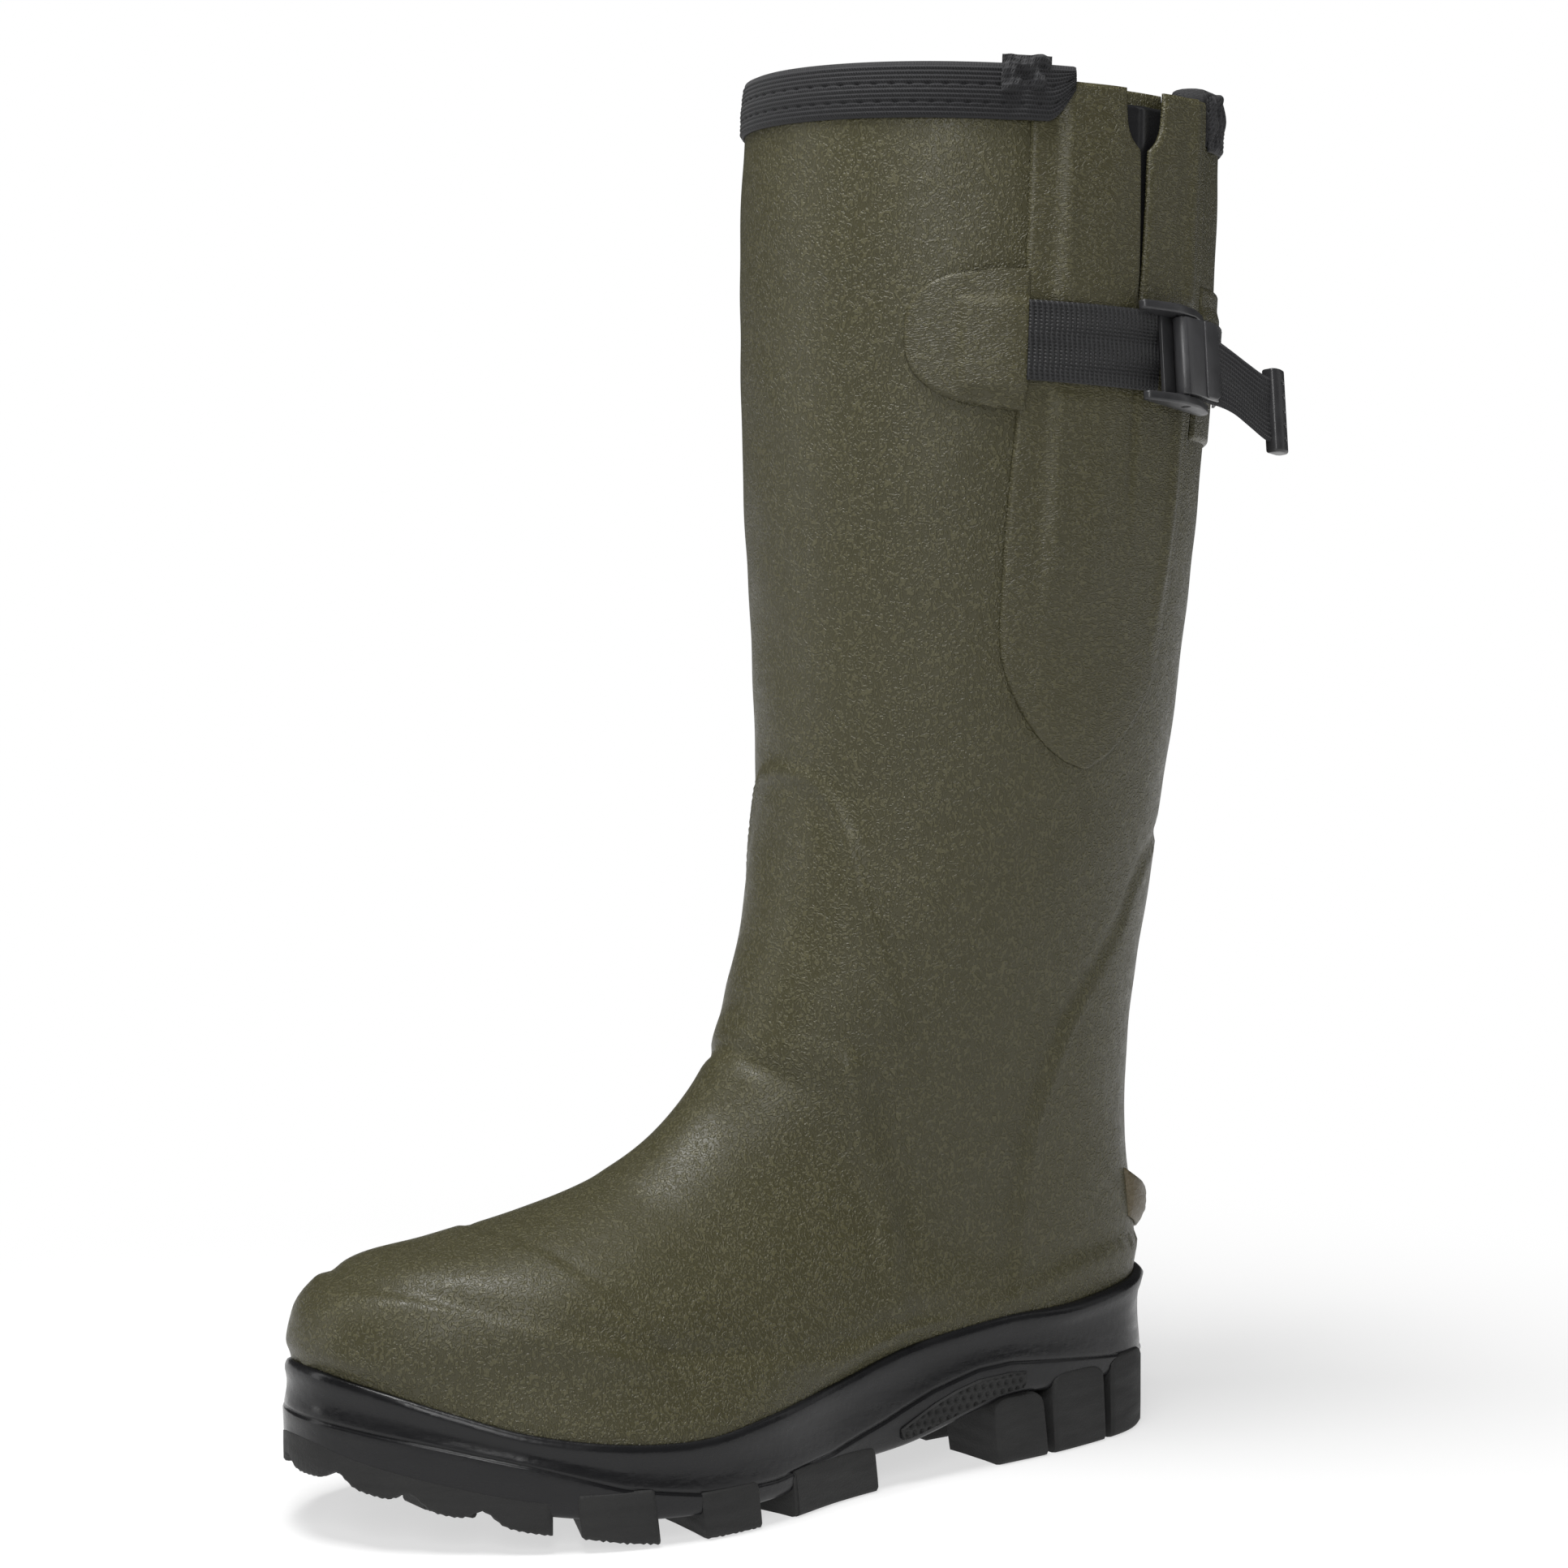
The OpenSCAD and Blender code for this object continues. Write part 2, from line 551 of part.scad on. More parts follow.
module buckle_frame() {
    color(plastic_black) at_origin() at_buckle() difference() {
        union() {
            // base plate under the webbing and two side rails
            translate([0, -buckle_len / 2, -window / 2 - rail_h])
                cube([1.6, buckle_len, window + 2 * rail_h]);
            for (side = [-1, 1])
                translate([0, 0, side * (window + rail_h) / 2 - rail_h / 2]) linear_extrude(rail_h)
                    polygon([[0, -buckle_len / 2], [2.6, -buckle_len / 2], [rail_depth, -4],
                             [rail_depth, 6], [3.8, buckle_len / 2], [0, buckle_len / 2]]);
            // fixed front bar that the webbing passes under
            translate([3.6, -buckle_len / 2 + 1, -window / 2 - 0.5]) cube([1.6, 4, window + 1]);
        }
        translate([pin_x, pin_y, -window]) cylinder(d = pin_d + 2 * pin_fit, h = 2 * window, $fn = 48);
    }
}

module buckle_pin() {
    color("gray") at_origin() at_buckle() translate([pin_x, pin_y, -window / 2 - rail_h])
        cylinder(d = pin_d, h = window + 2 * rail_h, $fn = 48);
}

// cam lever on the pin: boss with teeth side towards the webbing, flat plate to the back
module buckle_lever() {
    width = window - 1;
    color(plastic_black) at_origin() at_buckle()
        translate([pin_x, pin_y, -width / 2]) rotate([0, 0, -lever_angle]) difference() {
            union() {
                cylinder(d = pin_d + 2.4, h = width, $fn = 48);
                linear_extrude(width) polygon([[-0.4, 0], [2.6, 0], [3.6, 6], [3.6, 15], [2.6, 16.5],
                                               [1.6, 16.5], [1.2, 6]]);
            }
            translate([0, 0, -1]) cylinder(d = pin_d + 2 * pin_fit, h = width + 2, $fn = 48);
        }
}

module rear_webbing() {
    // short loop from the rear patch under the buckle's base plate
    color(webbing_black) at_origin() patch(steps(strap_u[0] + 0.1, strap_u[1] - 0.1, 3),
        function(u) [127.5, 152], function(u, a) overlay_out + 0.5, function(u, a) overlay_out + 1.7, 8);
}

// tail of the webbing: flat inside the buckle, then curving outwards and down
tail_inner = 1.9;
tail_droop = 9.5;
tail_end = 50;
module strap_tail() {
    reach = [4.5, 12, 20, 26, 32, 39, 45, tail_end - 0.3];
    lift = [0, 0, 0, 0.3, 1.4, 3, 4.2, 4.6];
    drop = [0, 0, 0, 0.8, 2.8, 6.2, 8.8, tail_droop];
    color(webbing_black) at_origin() at_buckle() loft([for (i = [0:len(reach) - 1])
        let (y = reach[i], x = tail_inner + lift[i], z = -drop[i], h = web_w / 2 - 0.4)
        [[x, y, z - h], [x + web_t - 0.2, y, z - h], [x + web_t - 0.2, y, z + h], [x, y, z + h]]]);
}

module strap_end_clip() {
    color(plastic_black) at_origin() at_buckle() translate([tail_inner + 4.4, tail_end, -tail_droop - 13.5])
        linear_extrude(27)
            polygon([[-1.2, 0], [2.8, 0], [3.6, 2], [3.4, 6.5], [2.4, 8], [-0.6, 8], [-1.4, 6]]);
}

sole_unit();
forefoot_lugs();
heel_lugs();
steel_shank();
heel_core();
insole_board();
footbed();
lining_sock();
rubber_upper();
toe_puff();
heel_counter();
toe_cap();
front_panel();
heel_panel();
foxing();
kick_spur();
gusset_front_flap();
gusset_rear_flap();
gusset_bellows();
top_binding();
binding_front_end();
binding_rear_end();
front_anchor_patch();
rear_anchor_patch();
front_webbing();
rear_webbing();
buckle_frame();
buckle_pin();
buckle_lever();
strap_tail();
strap_end_clip();
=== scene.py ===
# Insulated hunting boot, left foot, put together piece by piece. Metres, +Z up, toe towards -Y,
# lateral (outer) side towards +X, standing on z = 0.
import math

import bmesh
import bpy
import numpy as np
from mathutils import Matrix, Vector
from mathutils.kdtree import KDTree


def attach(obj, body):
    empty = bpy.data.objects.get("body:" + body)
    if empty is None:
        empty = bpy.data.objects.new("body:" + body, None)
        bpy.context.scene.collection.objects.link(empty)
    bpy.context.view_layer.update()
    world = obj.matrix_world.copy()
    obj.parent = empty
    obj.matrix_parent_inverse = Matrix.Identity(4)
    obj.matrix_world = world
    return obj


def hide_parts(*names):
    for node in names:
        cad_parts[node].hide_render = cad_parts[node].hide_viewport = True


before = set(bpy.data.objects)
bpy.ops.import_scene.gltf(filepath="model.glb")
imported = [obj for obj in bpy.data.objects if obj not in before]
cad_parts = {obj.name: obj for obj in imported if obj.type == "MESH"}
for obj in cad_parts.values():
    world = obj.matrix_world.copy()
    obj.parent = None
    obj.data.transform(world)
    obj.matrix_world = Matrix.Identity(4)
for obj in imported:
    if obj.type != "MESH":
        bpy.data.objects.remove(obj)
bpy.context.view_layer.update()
scene = bpy.context.scene

# ---- Camera, floor and lights ----
# Three-quarter view from the toe's outer side, a little above mid-height. One soft box over the
# camera and one over the toe light the rubber, two tall strips draw its edges, and the floor is
# plain white.
lens = bpy.data.cameras.new("camera")
lens.sensor_width = 36
lens.lens = 79.2
lens.clip_start = 0.01
camera = bpy.data.objects.new("camera", lens)
camera.location = (0.8564, -0.6155, 0.284)
camera.rotation_euler = (math.radians(86.07), 0, math.radians(54.4))
scene.collection.objects.link(camera)
scene.camera = camera
scene.view_settings.view_transform = "Standard"
scene.view_settings.look = "None"


def soft_box(name, azimuth, height, distance, width, tall, power, aim=(0, 0, 0.2)):
    box = bpy.data.lights.new(name, "AREA")
    box.shape = "RECTANGLE"
    box.size, box.size_y, box.energy = width, tall, power
    holder = bpy.data.objects.new(name, box)
    turn = math.radians(azimuth)
    holder.location = (distance * math.cos(turn), distance * math.sin(turn), height)
    away = Vector(aim) - holder.location
    holder.rotation_euler = away.to_track_quat("-Z", "Y").to_euler()
    scene.collection.objects.link(holder)


soft_box("key box", -36, 1.0, 1.5, 0.42, 0.9, 10.5)
soft_box("top box", -75, 1.6, 0.36, 0.7, 0.7, 27, aim=(0, -0.1, 0.08))
soft_box("left strip", -118, 0.6, 1.2, 0.3, 1.2, 3.2)
soft_box("right strip", 62, 0.7, 1.3, 0.3, 1.2, 0.8)


def feed(tree, plug, value):
    """Wire an output into a node's input, or set the input to a plain value."""
    if isinstance(value, bpy.types.NodeSocket):
        tree.links.new(value, plug)
    else:
        plug.default_value = value


def place(tree, kind, *wires, **values):
    """A node whose settings and inputs come by name, or number, or as a wire from an output."""
    made = tree.nodes.new("ShaderNode" + kind)
    for key, value in values.items():
        setattr(made, key, value)
    for key, value in wires:
        feed(tree, made.inputs[key], value)
    return made


world = bpy.data.worlds.new("studio air")
scene.world = world
world.use_nodes = True
air = world.node_tree
air.nodes.clear()
path = place(air, "LightPath")
strength = place(air, "MapRange", ("Value", path.outputs["Is Camera Ray"]), ("To Min", 0.055),
                 ("To Max", 1.0))
glow = place(air, "Background", ("Color", (1, 1, 1, 1)), ("Strength", strength.outputs["Result"]))
place(air, "OutputWorld", ("Surface", glow.outputs["Background"]))


def pick(*things):
    """Select only these, the first one active."""
    for thing in bpy.context.selected_objects:
        thing.select_set(False)
    for thing in things:
        thing.select_set(True)
    if things:
        bpy.context.view_layer.objects.active = things[0]


pick()
bpy.ops.mesh.primitive_circle_add(vertices=96, radius=9, fill_type="NGON")
floor = bpy.context.object
floor.name = "floor"
paper = bpy.data.materials.new("white floor")
paper.use_nodes = True
card = paper.node_tree
sheet = card.nodes["Principled BSDF"]
for label, value in (("Base Color", (0.36, 0.36, 0.36, 1)), ("Roughness", 0.9),
                     ("Specular IOR Level", 0.1), ("Emission Color", (1, 1, 1, 1)),
                     ("Emission Strength", 0.62)):
    sheet.inputs[label].default_value = value
where = place(card, "TexCoord")
reach = place(card, "VectorMath", (0, where.outputs["Object"]), operation="LENGTH")
fade = place(card, "MapRange", ("Value", reach.outputs["Value"]), ("From Min", 0.2),
             ("From Max", 0.5), interpolation_type="SMOOTHSTEP")
bright = place(card, "Emission", ("Strength", 1.0))
join = place(card, "MixShader", ("Fac", fade.outputs["Result"]), (1, sheet.outputs["BSDF"]),
             (2, bright.outputs["Emission"]))
card.links.new(join.outputs["Shader"], card.nodes["Material Output"].inputs["Surface"])
floor.data.materials.append(paper)

# ---- Rubber upper ----
# Olive rubber, hand laid over the last and cured as one skin: shin guard, vamp, toe cap, heel
# panel and foxing melt into it, and their edges stay as low rounded steps. Every other layer
# follows the same surface, station by station from the mouth (0) to the toe tip (16).
STATIONS = np.array([
    [12, 428, 170, 425, 65, 65, 0.50, 2.0, 2.0, 0],
    [9, 384, 169, 379, 66, 66, 0.50, 2.0, 2.0, 0],
    [9, 340, 166, 332, 65, 65, 0.50, 2.0, 2.0, 0],
    [10, 295, 161, 283, 63, 63, 0.50, 2.0, 2.0, 0],
    [12, 250, 155, 232, 59, 59, 0.50, 2.0, 2.0, 0],
    [12, 210, 147, 180, 54, 54, 0.50, 2.0, 2.0, 0],
    [8, 178, 139, 135, 49, 48, 0.51, 2.1, 2.1, 0],
    [1, 152, 138, 92, 46, 44, 0.54, 2.1, 2.2, -1],
    [-9, 129, 143, 54, 43, 41, 0.58, 2.1, 2.4, -2],
    [-25, 110, 122, 30, 42, 40, 0.66, 2.1, 3.0, -3],
    [-48, 96, 55, 28, 45, 41, 0.72, 2.1, 3.4, -3],
    [-75, 88, 0, 26, 51, 45, 0.76, 2.2, 3.4, -3],
    [-102, 82, -55, 23, 51, 46, 0.76, 2.3, 3.2, -5],
    [-123, 78, -100, 25, 40, 39, 0.72, 2.4, 3.0, -10],
    [-137, 71, -127, 30, 29, 28, 0.66, 2.3, 2.6, -12],
    [-144, 62, -140, 37, 17, 17, 0.58, 2.1, 2.3, -12],
    [-147, 53, -146, 45, 6, 6, 0.50, 2.0, 2.0, -12]], float)
BOX_MIDDLE = np.array([4.1, 12.0, 0.0])
MM = 0.001


def smooth_rows(table, u):
    """A smooth curve through the rows of a table, u counted in rows."""
    u = np.asarray(u, float)
    shape, u = u.shape, u.ravel()
    last = len(table) - 1
    i = np.clip(np.floor(u).astype(int), 0, last - 1)
    p1, p2 = table[i], table[i + 1]
    p0 = np.where((i > 0)[:, None], table[np.maximum(i - 1, 0)], 2 * p1 - p2)
    p3 = np.where((i + 2 <= last)[:, None], table[np.minimum(i + 2, last)], 2 * p2 - p1)
    t = (u - i)[:, None]
    rows = (2 * p1 + (p2 - p0) * t + (2 * p0 - 5 * p1 + 4 * p2 - p3) * t ** 2
            + (3 * p1 - p0 - 3 * p2 + p3) * t ** 3) / 2
    return rows.reshape(shape + (table.shape[1],))


def halves(u, angle):
    """The section's two half-sizes in the quadrant of an angle in radians."""
    s = smooth_rows(STATIONS, u)
    depth = np.hypot(s[..., 2] - s[..., 0], s[..., 3] - s[..., 1])
    front = np.where(np.cos(angle) > 0, depth * s[..., 6], depth * (1 - s[..., 6]))
    return s, depth, front, np.where(np.sin(angle) > 0, s[..., 4], s[..., 5])


def even(u, a):
    """Evenly spaced angle for the angle a seen from the section's middle, both in degrees."""
    u, a = np.broadcast_arrays(np.asarray(u, float), np.asarray(a, float))
    r = np.radians(a)
    _, _, front, side = halves(u, r)
    t = np.degrees(np.arctan2(np.sin(r) / side, np.cos(r) / front))
    return t + 360 * np.round((a - t) / 360)


def plain(u, t):
    """The reverse of even()."""
    u, t = np.broadcast_arrays(np.asarray(u, float), np.asarray(t, float))
    r = np.radians(t)
    _, _, front, side = halves(u, r)
    a = np.degrees(np.arctan2(np.sin(r) * side, np.cos(r) * front))
    return a + 360 * np.round((t - a) / 360)


def skin(u, t, d):
    """Points of the boot's surface at station u and even angle t, d mm outwards, in metres."""
    u, t, d = np.broadcast_arrays(*[np.asarray(v, float) for v in (u, t, d)])
    s, depth, front, side = halves(u, np.radians(t))
    r = np.radians(t)
    v0, v1 = (s[..., 0] - s[..., 2]) / depth, (s[..., 1] - s[..., 3]) / depth
    a = np.arctan2(np.sin(r) * side, np.cos(r) * front)
    n = np.where(np.cos(a) > 0, s[..., 7], s[..., 8])
    reach = ((np.abs(np.cos(a)) / (front + d)) ** n
             + (np.abs(np.sin(a)) / (side + d)) ** n) ** (-1 / n)
    along = reach * np.cos(a) - depth * s[..., 6]
    toe = np.clip((u - 12) / 4, 0, 1)
    forward = d * toe * toe * (3 - 2 * toe)
    points = np.stack([s[..., 9] + reach * np.sin(a), s[..., 0] + v0 * along - v1 * forward,
                       s[..., 1] + v1 * along + v0 * forward], -1)
    return (points - BOX_MIDDLE) * MM


def soft_step(x, width):
    """0 to 1 as x goes from -width / 2 to width / 2."""
    t = np.clip(np.asarray(x, float) / width + 0.5, 0, 1)
    return t * t * (3 - 2 * t)


def between(x, low, high, low_width, high_width):
    """1 between two values of x and 0 outside them, with a soft edge at each."""
    return soft_step(x - low, low_width) * (1 - soft_step(x - high, high_width))


def hump(x, width):
    return np.exp(-(np.asarray(x, float) / width) ** 2)


def edge_line(rows, mirrored=True):
    """Points along a moulded edge given as rows of station and angle, on one or both sides."""
    rows = np.array(rows, float)
    k = np.linspace(0, len(rows) - 1, (len(rows) - 1) * 24 + 1)
    u, a = smooth_rows(rows, k).T
    line = skin(u, even(u, a), 0)
    return np.vstack([line, skin(u, even(u, 360 - a), 0)]) if mirrored else line


def gap_to(points, line):
    """Distance in mm from each point of a grid to a line of points."""
    tree = KDTree(len(line))
    for i, p in enumerate(line):
        tree.insert(p, i)
    tree.balance()
    flat = points.reshape(-1, 3)
    return np.array([tree.find(p)[2] for p in flat]).reshape(points.shape[:-1]) * 1000


def link_piece(name, points, faces, run=None):
    """A mesh piece with its faces turned outwards. run is an optional value per point."""
    mesh = bpy.data.meshes.new(name)
    mesh.from_pydata([tuple(p) for p in points], [], faces)
    work = bmesh.new()
    work.from_mesh(mesh)
    bmesh.ops.recalc_face_normals(work, faces=work.faces)
    work.to_mesh(mesh)
    work.free()
    mesh.polygons.foreach_set("use_smooth", [True] * len(mesh.polygons))
    if run is not None:
        store = mesh.attributes.new("run", "FLOAT_VECTOR", "POINT")
        store.data.foreach_set("vector", np.asarray(run, float).ravel())
    piece = bpy.data.objects.new(name, mesh)
    scene.collection.objects.link(piece)
    return piece


def layer(name, outer, inner, keep=None, wrap=False, coarse=1, tip=False, run=None):
    """A closed wall between an outer grid of points and an inner one that is coarser by a whole
    factor. keep marks the inner grid's cells that are there, and tip closes the last ring."""
    nu, na = outer.shape[:2]
    mu, ma = inner.shape[:2]
    cells = ma if wrap else ma - 1
    keep = np.ones((mu - 1, cells), bool) if keep is None else keep
    base = nu * na

    def on_outer(i, k):
        return i * na + k % na

    def on_inner(i, k):
        return base + i * ma + k % ma

    i, k = np.nonzero(np.repeat(np.repeat(keep, coarse, 0), coarse, 1))
    faces = np.stack([on_outer(i, k), on_outer(i, k + 1), on_outer(i + 1, k + 1),
                      on_outer(i + 1, k)], 1).tolist()
    i, k = np.nonzero(keep)
    faces += np.stack([on_inner(i, k), on_inner(i + 1, k), on_inner(i + 1, k + 1),
                       on_inner(i, k + 1)], 1).tolist()

    def there(i, k):
        if wrap:
            k %= cells
        return 0 <= i < mu - 1 and 0 <= k < cells and keep[i, k]

    for i, k in zip(i.tolist(), k.tolist()):
        r, c, steps = i * coarse, k * coarse, range(coarse + 1)
        if not there(i - 1, k):
            faces.append([on_outer(r, c + j) for j in reversed(steps)]
                         + [on_inner(i, k), on_inner(i, k + 1)])
        if not there(i + 1, k) and not (tip and i == mu - 2):
            faces.append([on_outer(r + coarse, c + j) for j in steps]
                         + [on_inner(i + 1, k + 1), on_inner(i + 1, k)])
        if not there(i, k - 1):
            faces.append([on_outer(r + j, c) for j in steps]
                         + [on_inner(i + 1, k), on_inner(i, k)])
        if not there(i, k + 1):
            faces.append([on_outer(r + j, c + coarse) for j in reversed(steps)]
                         + [on_inner(i, k + 1), on_inner(i + 1, k + 1)])
    points = np.vstack([outer.reshape(-1, 3), inner.reshape(-1, 3)])
    if run is not None:
        run = np.vstack([run.reshape(-1, 3), run[::coarse, ::coarse].reshape(-1, 3)])
    if tip:
        points = np.vstack([points, outer[-1].mean(0), inner[-1].mean(0)])
        pole = len(points) - 2
        faces += [[on_outer(nu - 1, k + 1), on_outer(nu - 1, k), pole] for k in range(na)]
        faces += [[on_inner(mu - 1, k), on_inner(mu - 1, k + 1), pole + 1] for k in range(ma)]
    return link_piece(name, points, faces, run)


# outline of the sole seen from above, with the rand's top and the slab's underside
SOLE = np.array([
    [147, 1, -4, 50, 20], [144, 12, -17, 50, 20], [137, 24, -28, 50, 20], [122, 35, -37, 49, 20],
    [95, 41, -41, 46.5, 20], [65, 43, -39, 46, 20], [30, 43, -35, 42, 12], [0, 47, -37, 36, 10],
    [-30, 55, -44, 32, 7], [-55, 57, -51, 29, 7], [-80, 52, -54, 30, 8], [-104, 41, -53, 34, 11],
    [-122, 28, -49, 40, 15], [-135, 17, -41, 45, 19], [-143, 6, -32, 48, 22],
    [-148, -6, -20, 50, 25]], float)
outline = np.vstack([SOLE[:, [1, 0, 3, 4]], SOLE[::-1][:, [2, 0, 3, 4]]])
closed = np.vstack([outline[-2:], outline, outline[:3]])
dense = smooth_rows(closed, np.linspace(2, len(outline) + 2, 6001))[:-1]
dense = np.roll(dense, -int(dense[:, 1].argmax()), axis=0)
dense = np.vstack([dense, dense[:1]])
outline_s = np.concatenate([[0], np.cumsum(np.hypot(*np.diff(dense[:, :2], axis=0).T))])
girth = outline_s[-1]
toe_s = outline_s[dense[:, 1].argmin()]


def around(s):
    """Outline point, outward direction, rand top and slab underside at s mm from the heel's
    middle, going forward on the lateral side and back on the medial side."""
    s = np.asarray(s, float) % girth
    x, y, top, low = [np.interp(s, outline_s, dense[:, c]) for c in range(4)]
    ahead, behind = (s + 1.5) % girth, (s - 1.5) % girth
    dx = np.interp(ahead, outline_s, dense[:, 0]) - np.interp(behind, outline_s, dense[:, 0])
    dy = np.interp(ahead, outline_s, dense[:, 1]) - np.interp(behind, outline_s, dense[:, 1])
    size = np.hypot(dx, dy)
    return x, y, -dy / size, dx / size, top, low


def outline_at(y, side):
    """Distance along the outline at which one side reaches y."""
    s = np.linspace(0, toe_s, 1500) if side > 0 else np.linspace(girth, toe_s, 1500)
    return float(np.interp(-y, -around(s)[1], s))


def table(rows, value):
    rows = np.array(rows, float)
    return np.interp(value, rows[:, 0], rows[:, 1])


def sole_point(s, out, z):
    x, y, nx, ny, _, _ = around(s)
    return (np.stack([x + nx * out, y + ny * out, z + 0 * x], -1) - BOX_MIDDLE) * MM


# edges of the moulded parts: station and angle from the front, the same on both sides
SHIN = [[4.84, 0], [4.86, 7], [4.93, 14], [5.15, 20], [5.5, 25], [5.85, 28.5], [6.4, 34],
        [6.75, 36.5], [7.05, 39], [7.3, 43]]
VAMP = [[7.45, 25.5], [7.95, 25.5], [8.5, 28.5], [9.1, 38], [9.5, 54], [9.8, 76], [9.95, 88]]
HEEL = [[4.75, 180], [4.77, 166], [4.83, 152], [5.0, 139], [5.25, 132.5], [5.55, 128],
        [5.95, 118], [6.45, 106], [7.0, 97], [7.6, 87], [8.3, 82.5], [8.85, 88], [9.3, 104]]
FOXING = [[7.76, 180], [7.82, 166], [8.1, 141], [8.6, 113], [9.1, 97], [10, 88.5], [10.7, 85],
          [11.25, 78], [11.65, 70], [12.05, 61], [12.4, 55], [12.75, 49.5], [13.1, 43],
          [13.5, 34], [13.8, 24], [14.0, 13], [14.1, 0]]
TOE_CAP = [[11.7, 0], [11.6, 18], [11.55, 40], [11.62, 58], [11.7, 74], [11.85, 90], [11.98, 104],
           [12.1, 120]]

pace = np.linspace(0.1, 15.95, 2400)
rails = smooth_rows(STATIONS, pace)
front_run = np.hypot(*np.diff(rails[:, :2], axis=0).T)
back_run = np.hypot(*np.diff(rails[:, 2:4], axis=0).T)
length = np.concatenate([[0], np.cumsum(0.65 * front_run + 0.35 * back_run)])
slot_row = 124
slot_at = np.interp(3.0, pace, length)
upper_u = np.concatenate([
    np.interp(np.linspace(0, slot_at, slot_row + 1), length, pace),
    np.interp(np.linspace(slot_at, length[-1], 300 - slot_row + 1), length, pace)[1:]])
upper_t = np.arange(264) * 360 / 264
U, T = np.meshgrid(upper_u, upper_t, indexing="ij")
ANGLE = plain(U, T) % 360
FOLD = np.minimum(ANGLE, 360 - ANGLE)
bare = skin(U, T, 0)


def inside(rows, more):
    """1 or -1 where the angle is beyond or short of an edge's angle at the same station."""
    rows = np.array(rows, float)
    beyond = FOLD > np.interp(U, rows[:, 0], rows[:, 1])
    return np.where(beyond == more, 1, -1)


shin = gap_to(bare, edge_line(SHIN)) * np.where(U < SHIN[0][0], -1, inside(SHIN, False))
vamp = gap_to(bare, edge_line(VAMP)) * np.where(U < VAMP[0][0], -1, inside(VAMP, False))
heel = gap_to(bare, edge_line(HEEL)) * np.where(U < HEEL[0][0], -1, inside(HEEL, True))
foxing = gap_to(bare, edge_line(FOXING)) * np.where(
    U < FOXING[0][0], -1, np.where(U > FOXING[-1][0], 1, inside(FOXING, True)))
cap_rows = np.array(TOE_CAP, float)
cap = gap_to(bare, edge_line(TOE_CAP)) * np.where(
    U > np.interp(FOLD, cap_rows[:, 1], cap_rows[:, 0]), 1, -1)

shin_fade = 1 - soft_step(U - 7.25, 0.5)
relief = 0.3 + (1.0 * soft_step(shin, 3.4) + 0.8 * hump(shin - 0.6, 1.9)) * shin_fade
relief -= 0.35 * hump(shin - 6, 3.5) * shin_fade
vamp_fade = between(U, 7.55, 10.0, 0.3, 0.3)
relief += (2.1 * hump(vamp, 3.6) + 0.35 * soft_step(vamp, 9)) * vamp_fade
relief -= 1.5 * hump(vamp + 7.5, 3.6) * between(U, 7.7, 9.2, 0.3, 0.7)
relief += 0.6 * soft_step(heel, 3) + 0.95 * hump(heel - 0.4, 1.6) * soft_step(U - 6.2, 0.6)
relief -= 0.75 * hump(heel + 3.2, 2.4)
relief += 1.1 * soft_step(foxing, 3.2) - 0.55 * hump(foxing + 3, 2.8)
relief += (0.8 * soft_step(cap, 2.6) - 0.9 * hump(cap + 1.6, 1.7)
           * (0.3 + 0.7 * soft_step(FOLD - 44, 20))) * soft_step(U - 11.2, 0.4)
# instep crease and the soft swell beside it
relief -= 1.6 * hump((U - 7.9 - FOLD * 0.012) * 25, 3) * (1 - soft_step(FOLD - 16, 14))
relief += 1.6 * hump((U - 7.5) * 25, 11) * hump(FOLD - 19, 11)
# slow unevenness of hand-laid rubber
relief += 0.2 * (np.sin(bare[..., 2] * 160 + 3 * np.sin(bare[..., 0] * 70))
                 * np.sin(bare[..., 1] * 120 + 2 * np.sin(bare[..., 2] * 45)))

slot_cols = (60, 84)
keep = np.ones((75, 66), bool)
keep[:slot_row // 4, slot_cols[0] // 4:slot_cols[1] // 4] = False
inner_u = np.minimum(upper_u[::4], 15.6 + (upper_u[::4] - upper_u[-1]) * 0.2)
inner_wall = skin(*np.meshgrid(inner_u, upper_t[::4], indexing="ij"), -2.1)
# the front of the skin is laid flush under the gusset panel
under_gusset = between(ANGLE, 60, 128, 2, 2) * (1 - soft_step(U - 4.3, 0.2))
relief = relief * (1 - under_gusset) + 0.3 * under_gusset
# towards the sole the foxing comes out until it is flush with the rand
shell = skin(U, T, relief)
ring = KDTree(len(dense))
for i, row in enumerate(dense):
    ring.insert((row[0], row[1], 0), i)
ring.balance()
mm = shell.reshape(-1, 3) * 1000 + BOX_MIDDLE
for i in np.nonzero(mm[:, 2] < 80)[0].tolist():
    _, k, away = ring.find((mm[i, 0], mm[i, 1], 0))
    _, _, nx, ny, _, _ = around(outline_s[k])
    deep = (dense[k, 0] - mm[i, 0]) * nx + (dense[k, 1] - mm[i, 1]) * ny
    rise = 11 if deep > 1.2 else 3
    part = (1 - soft_step(mm[i, 2] - dense[k, 2] - rise, 2 * rise)) * (1 - soft_step(away - 22, 8))
    push = (deep - 1.2) * part
    mm[i, 0] += nx * push
    mm[i, 1] += ny * push
shell = ((mm - BOX_MIDDLE) * MM).reshape(shell.shape)
upper = layer("moulded_upper", shell, inner_wall, keep, wrap=True, coarse=4, tip=True)


def shader(name):
    """A material, its node maker, a way to set its Principled shader's inputs, and its tree."""
    mat = bpy.data.materials.new(name)
    mat.use_nodes = True
    tree = mat.node_tree

    def put(kind, *wires, **values):
        return place(tree, kind, *wires, **values)

    def plug(label, value):
        feed(tree, tree.nodes["Principled BSDF"].inputs[label], value)
    return mat, put, plug, tree


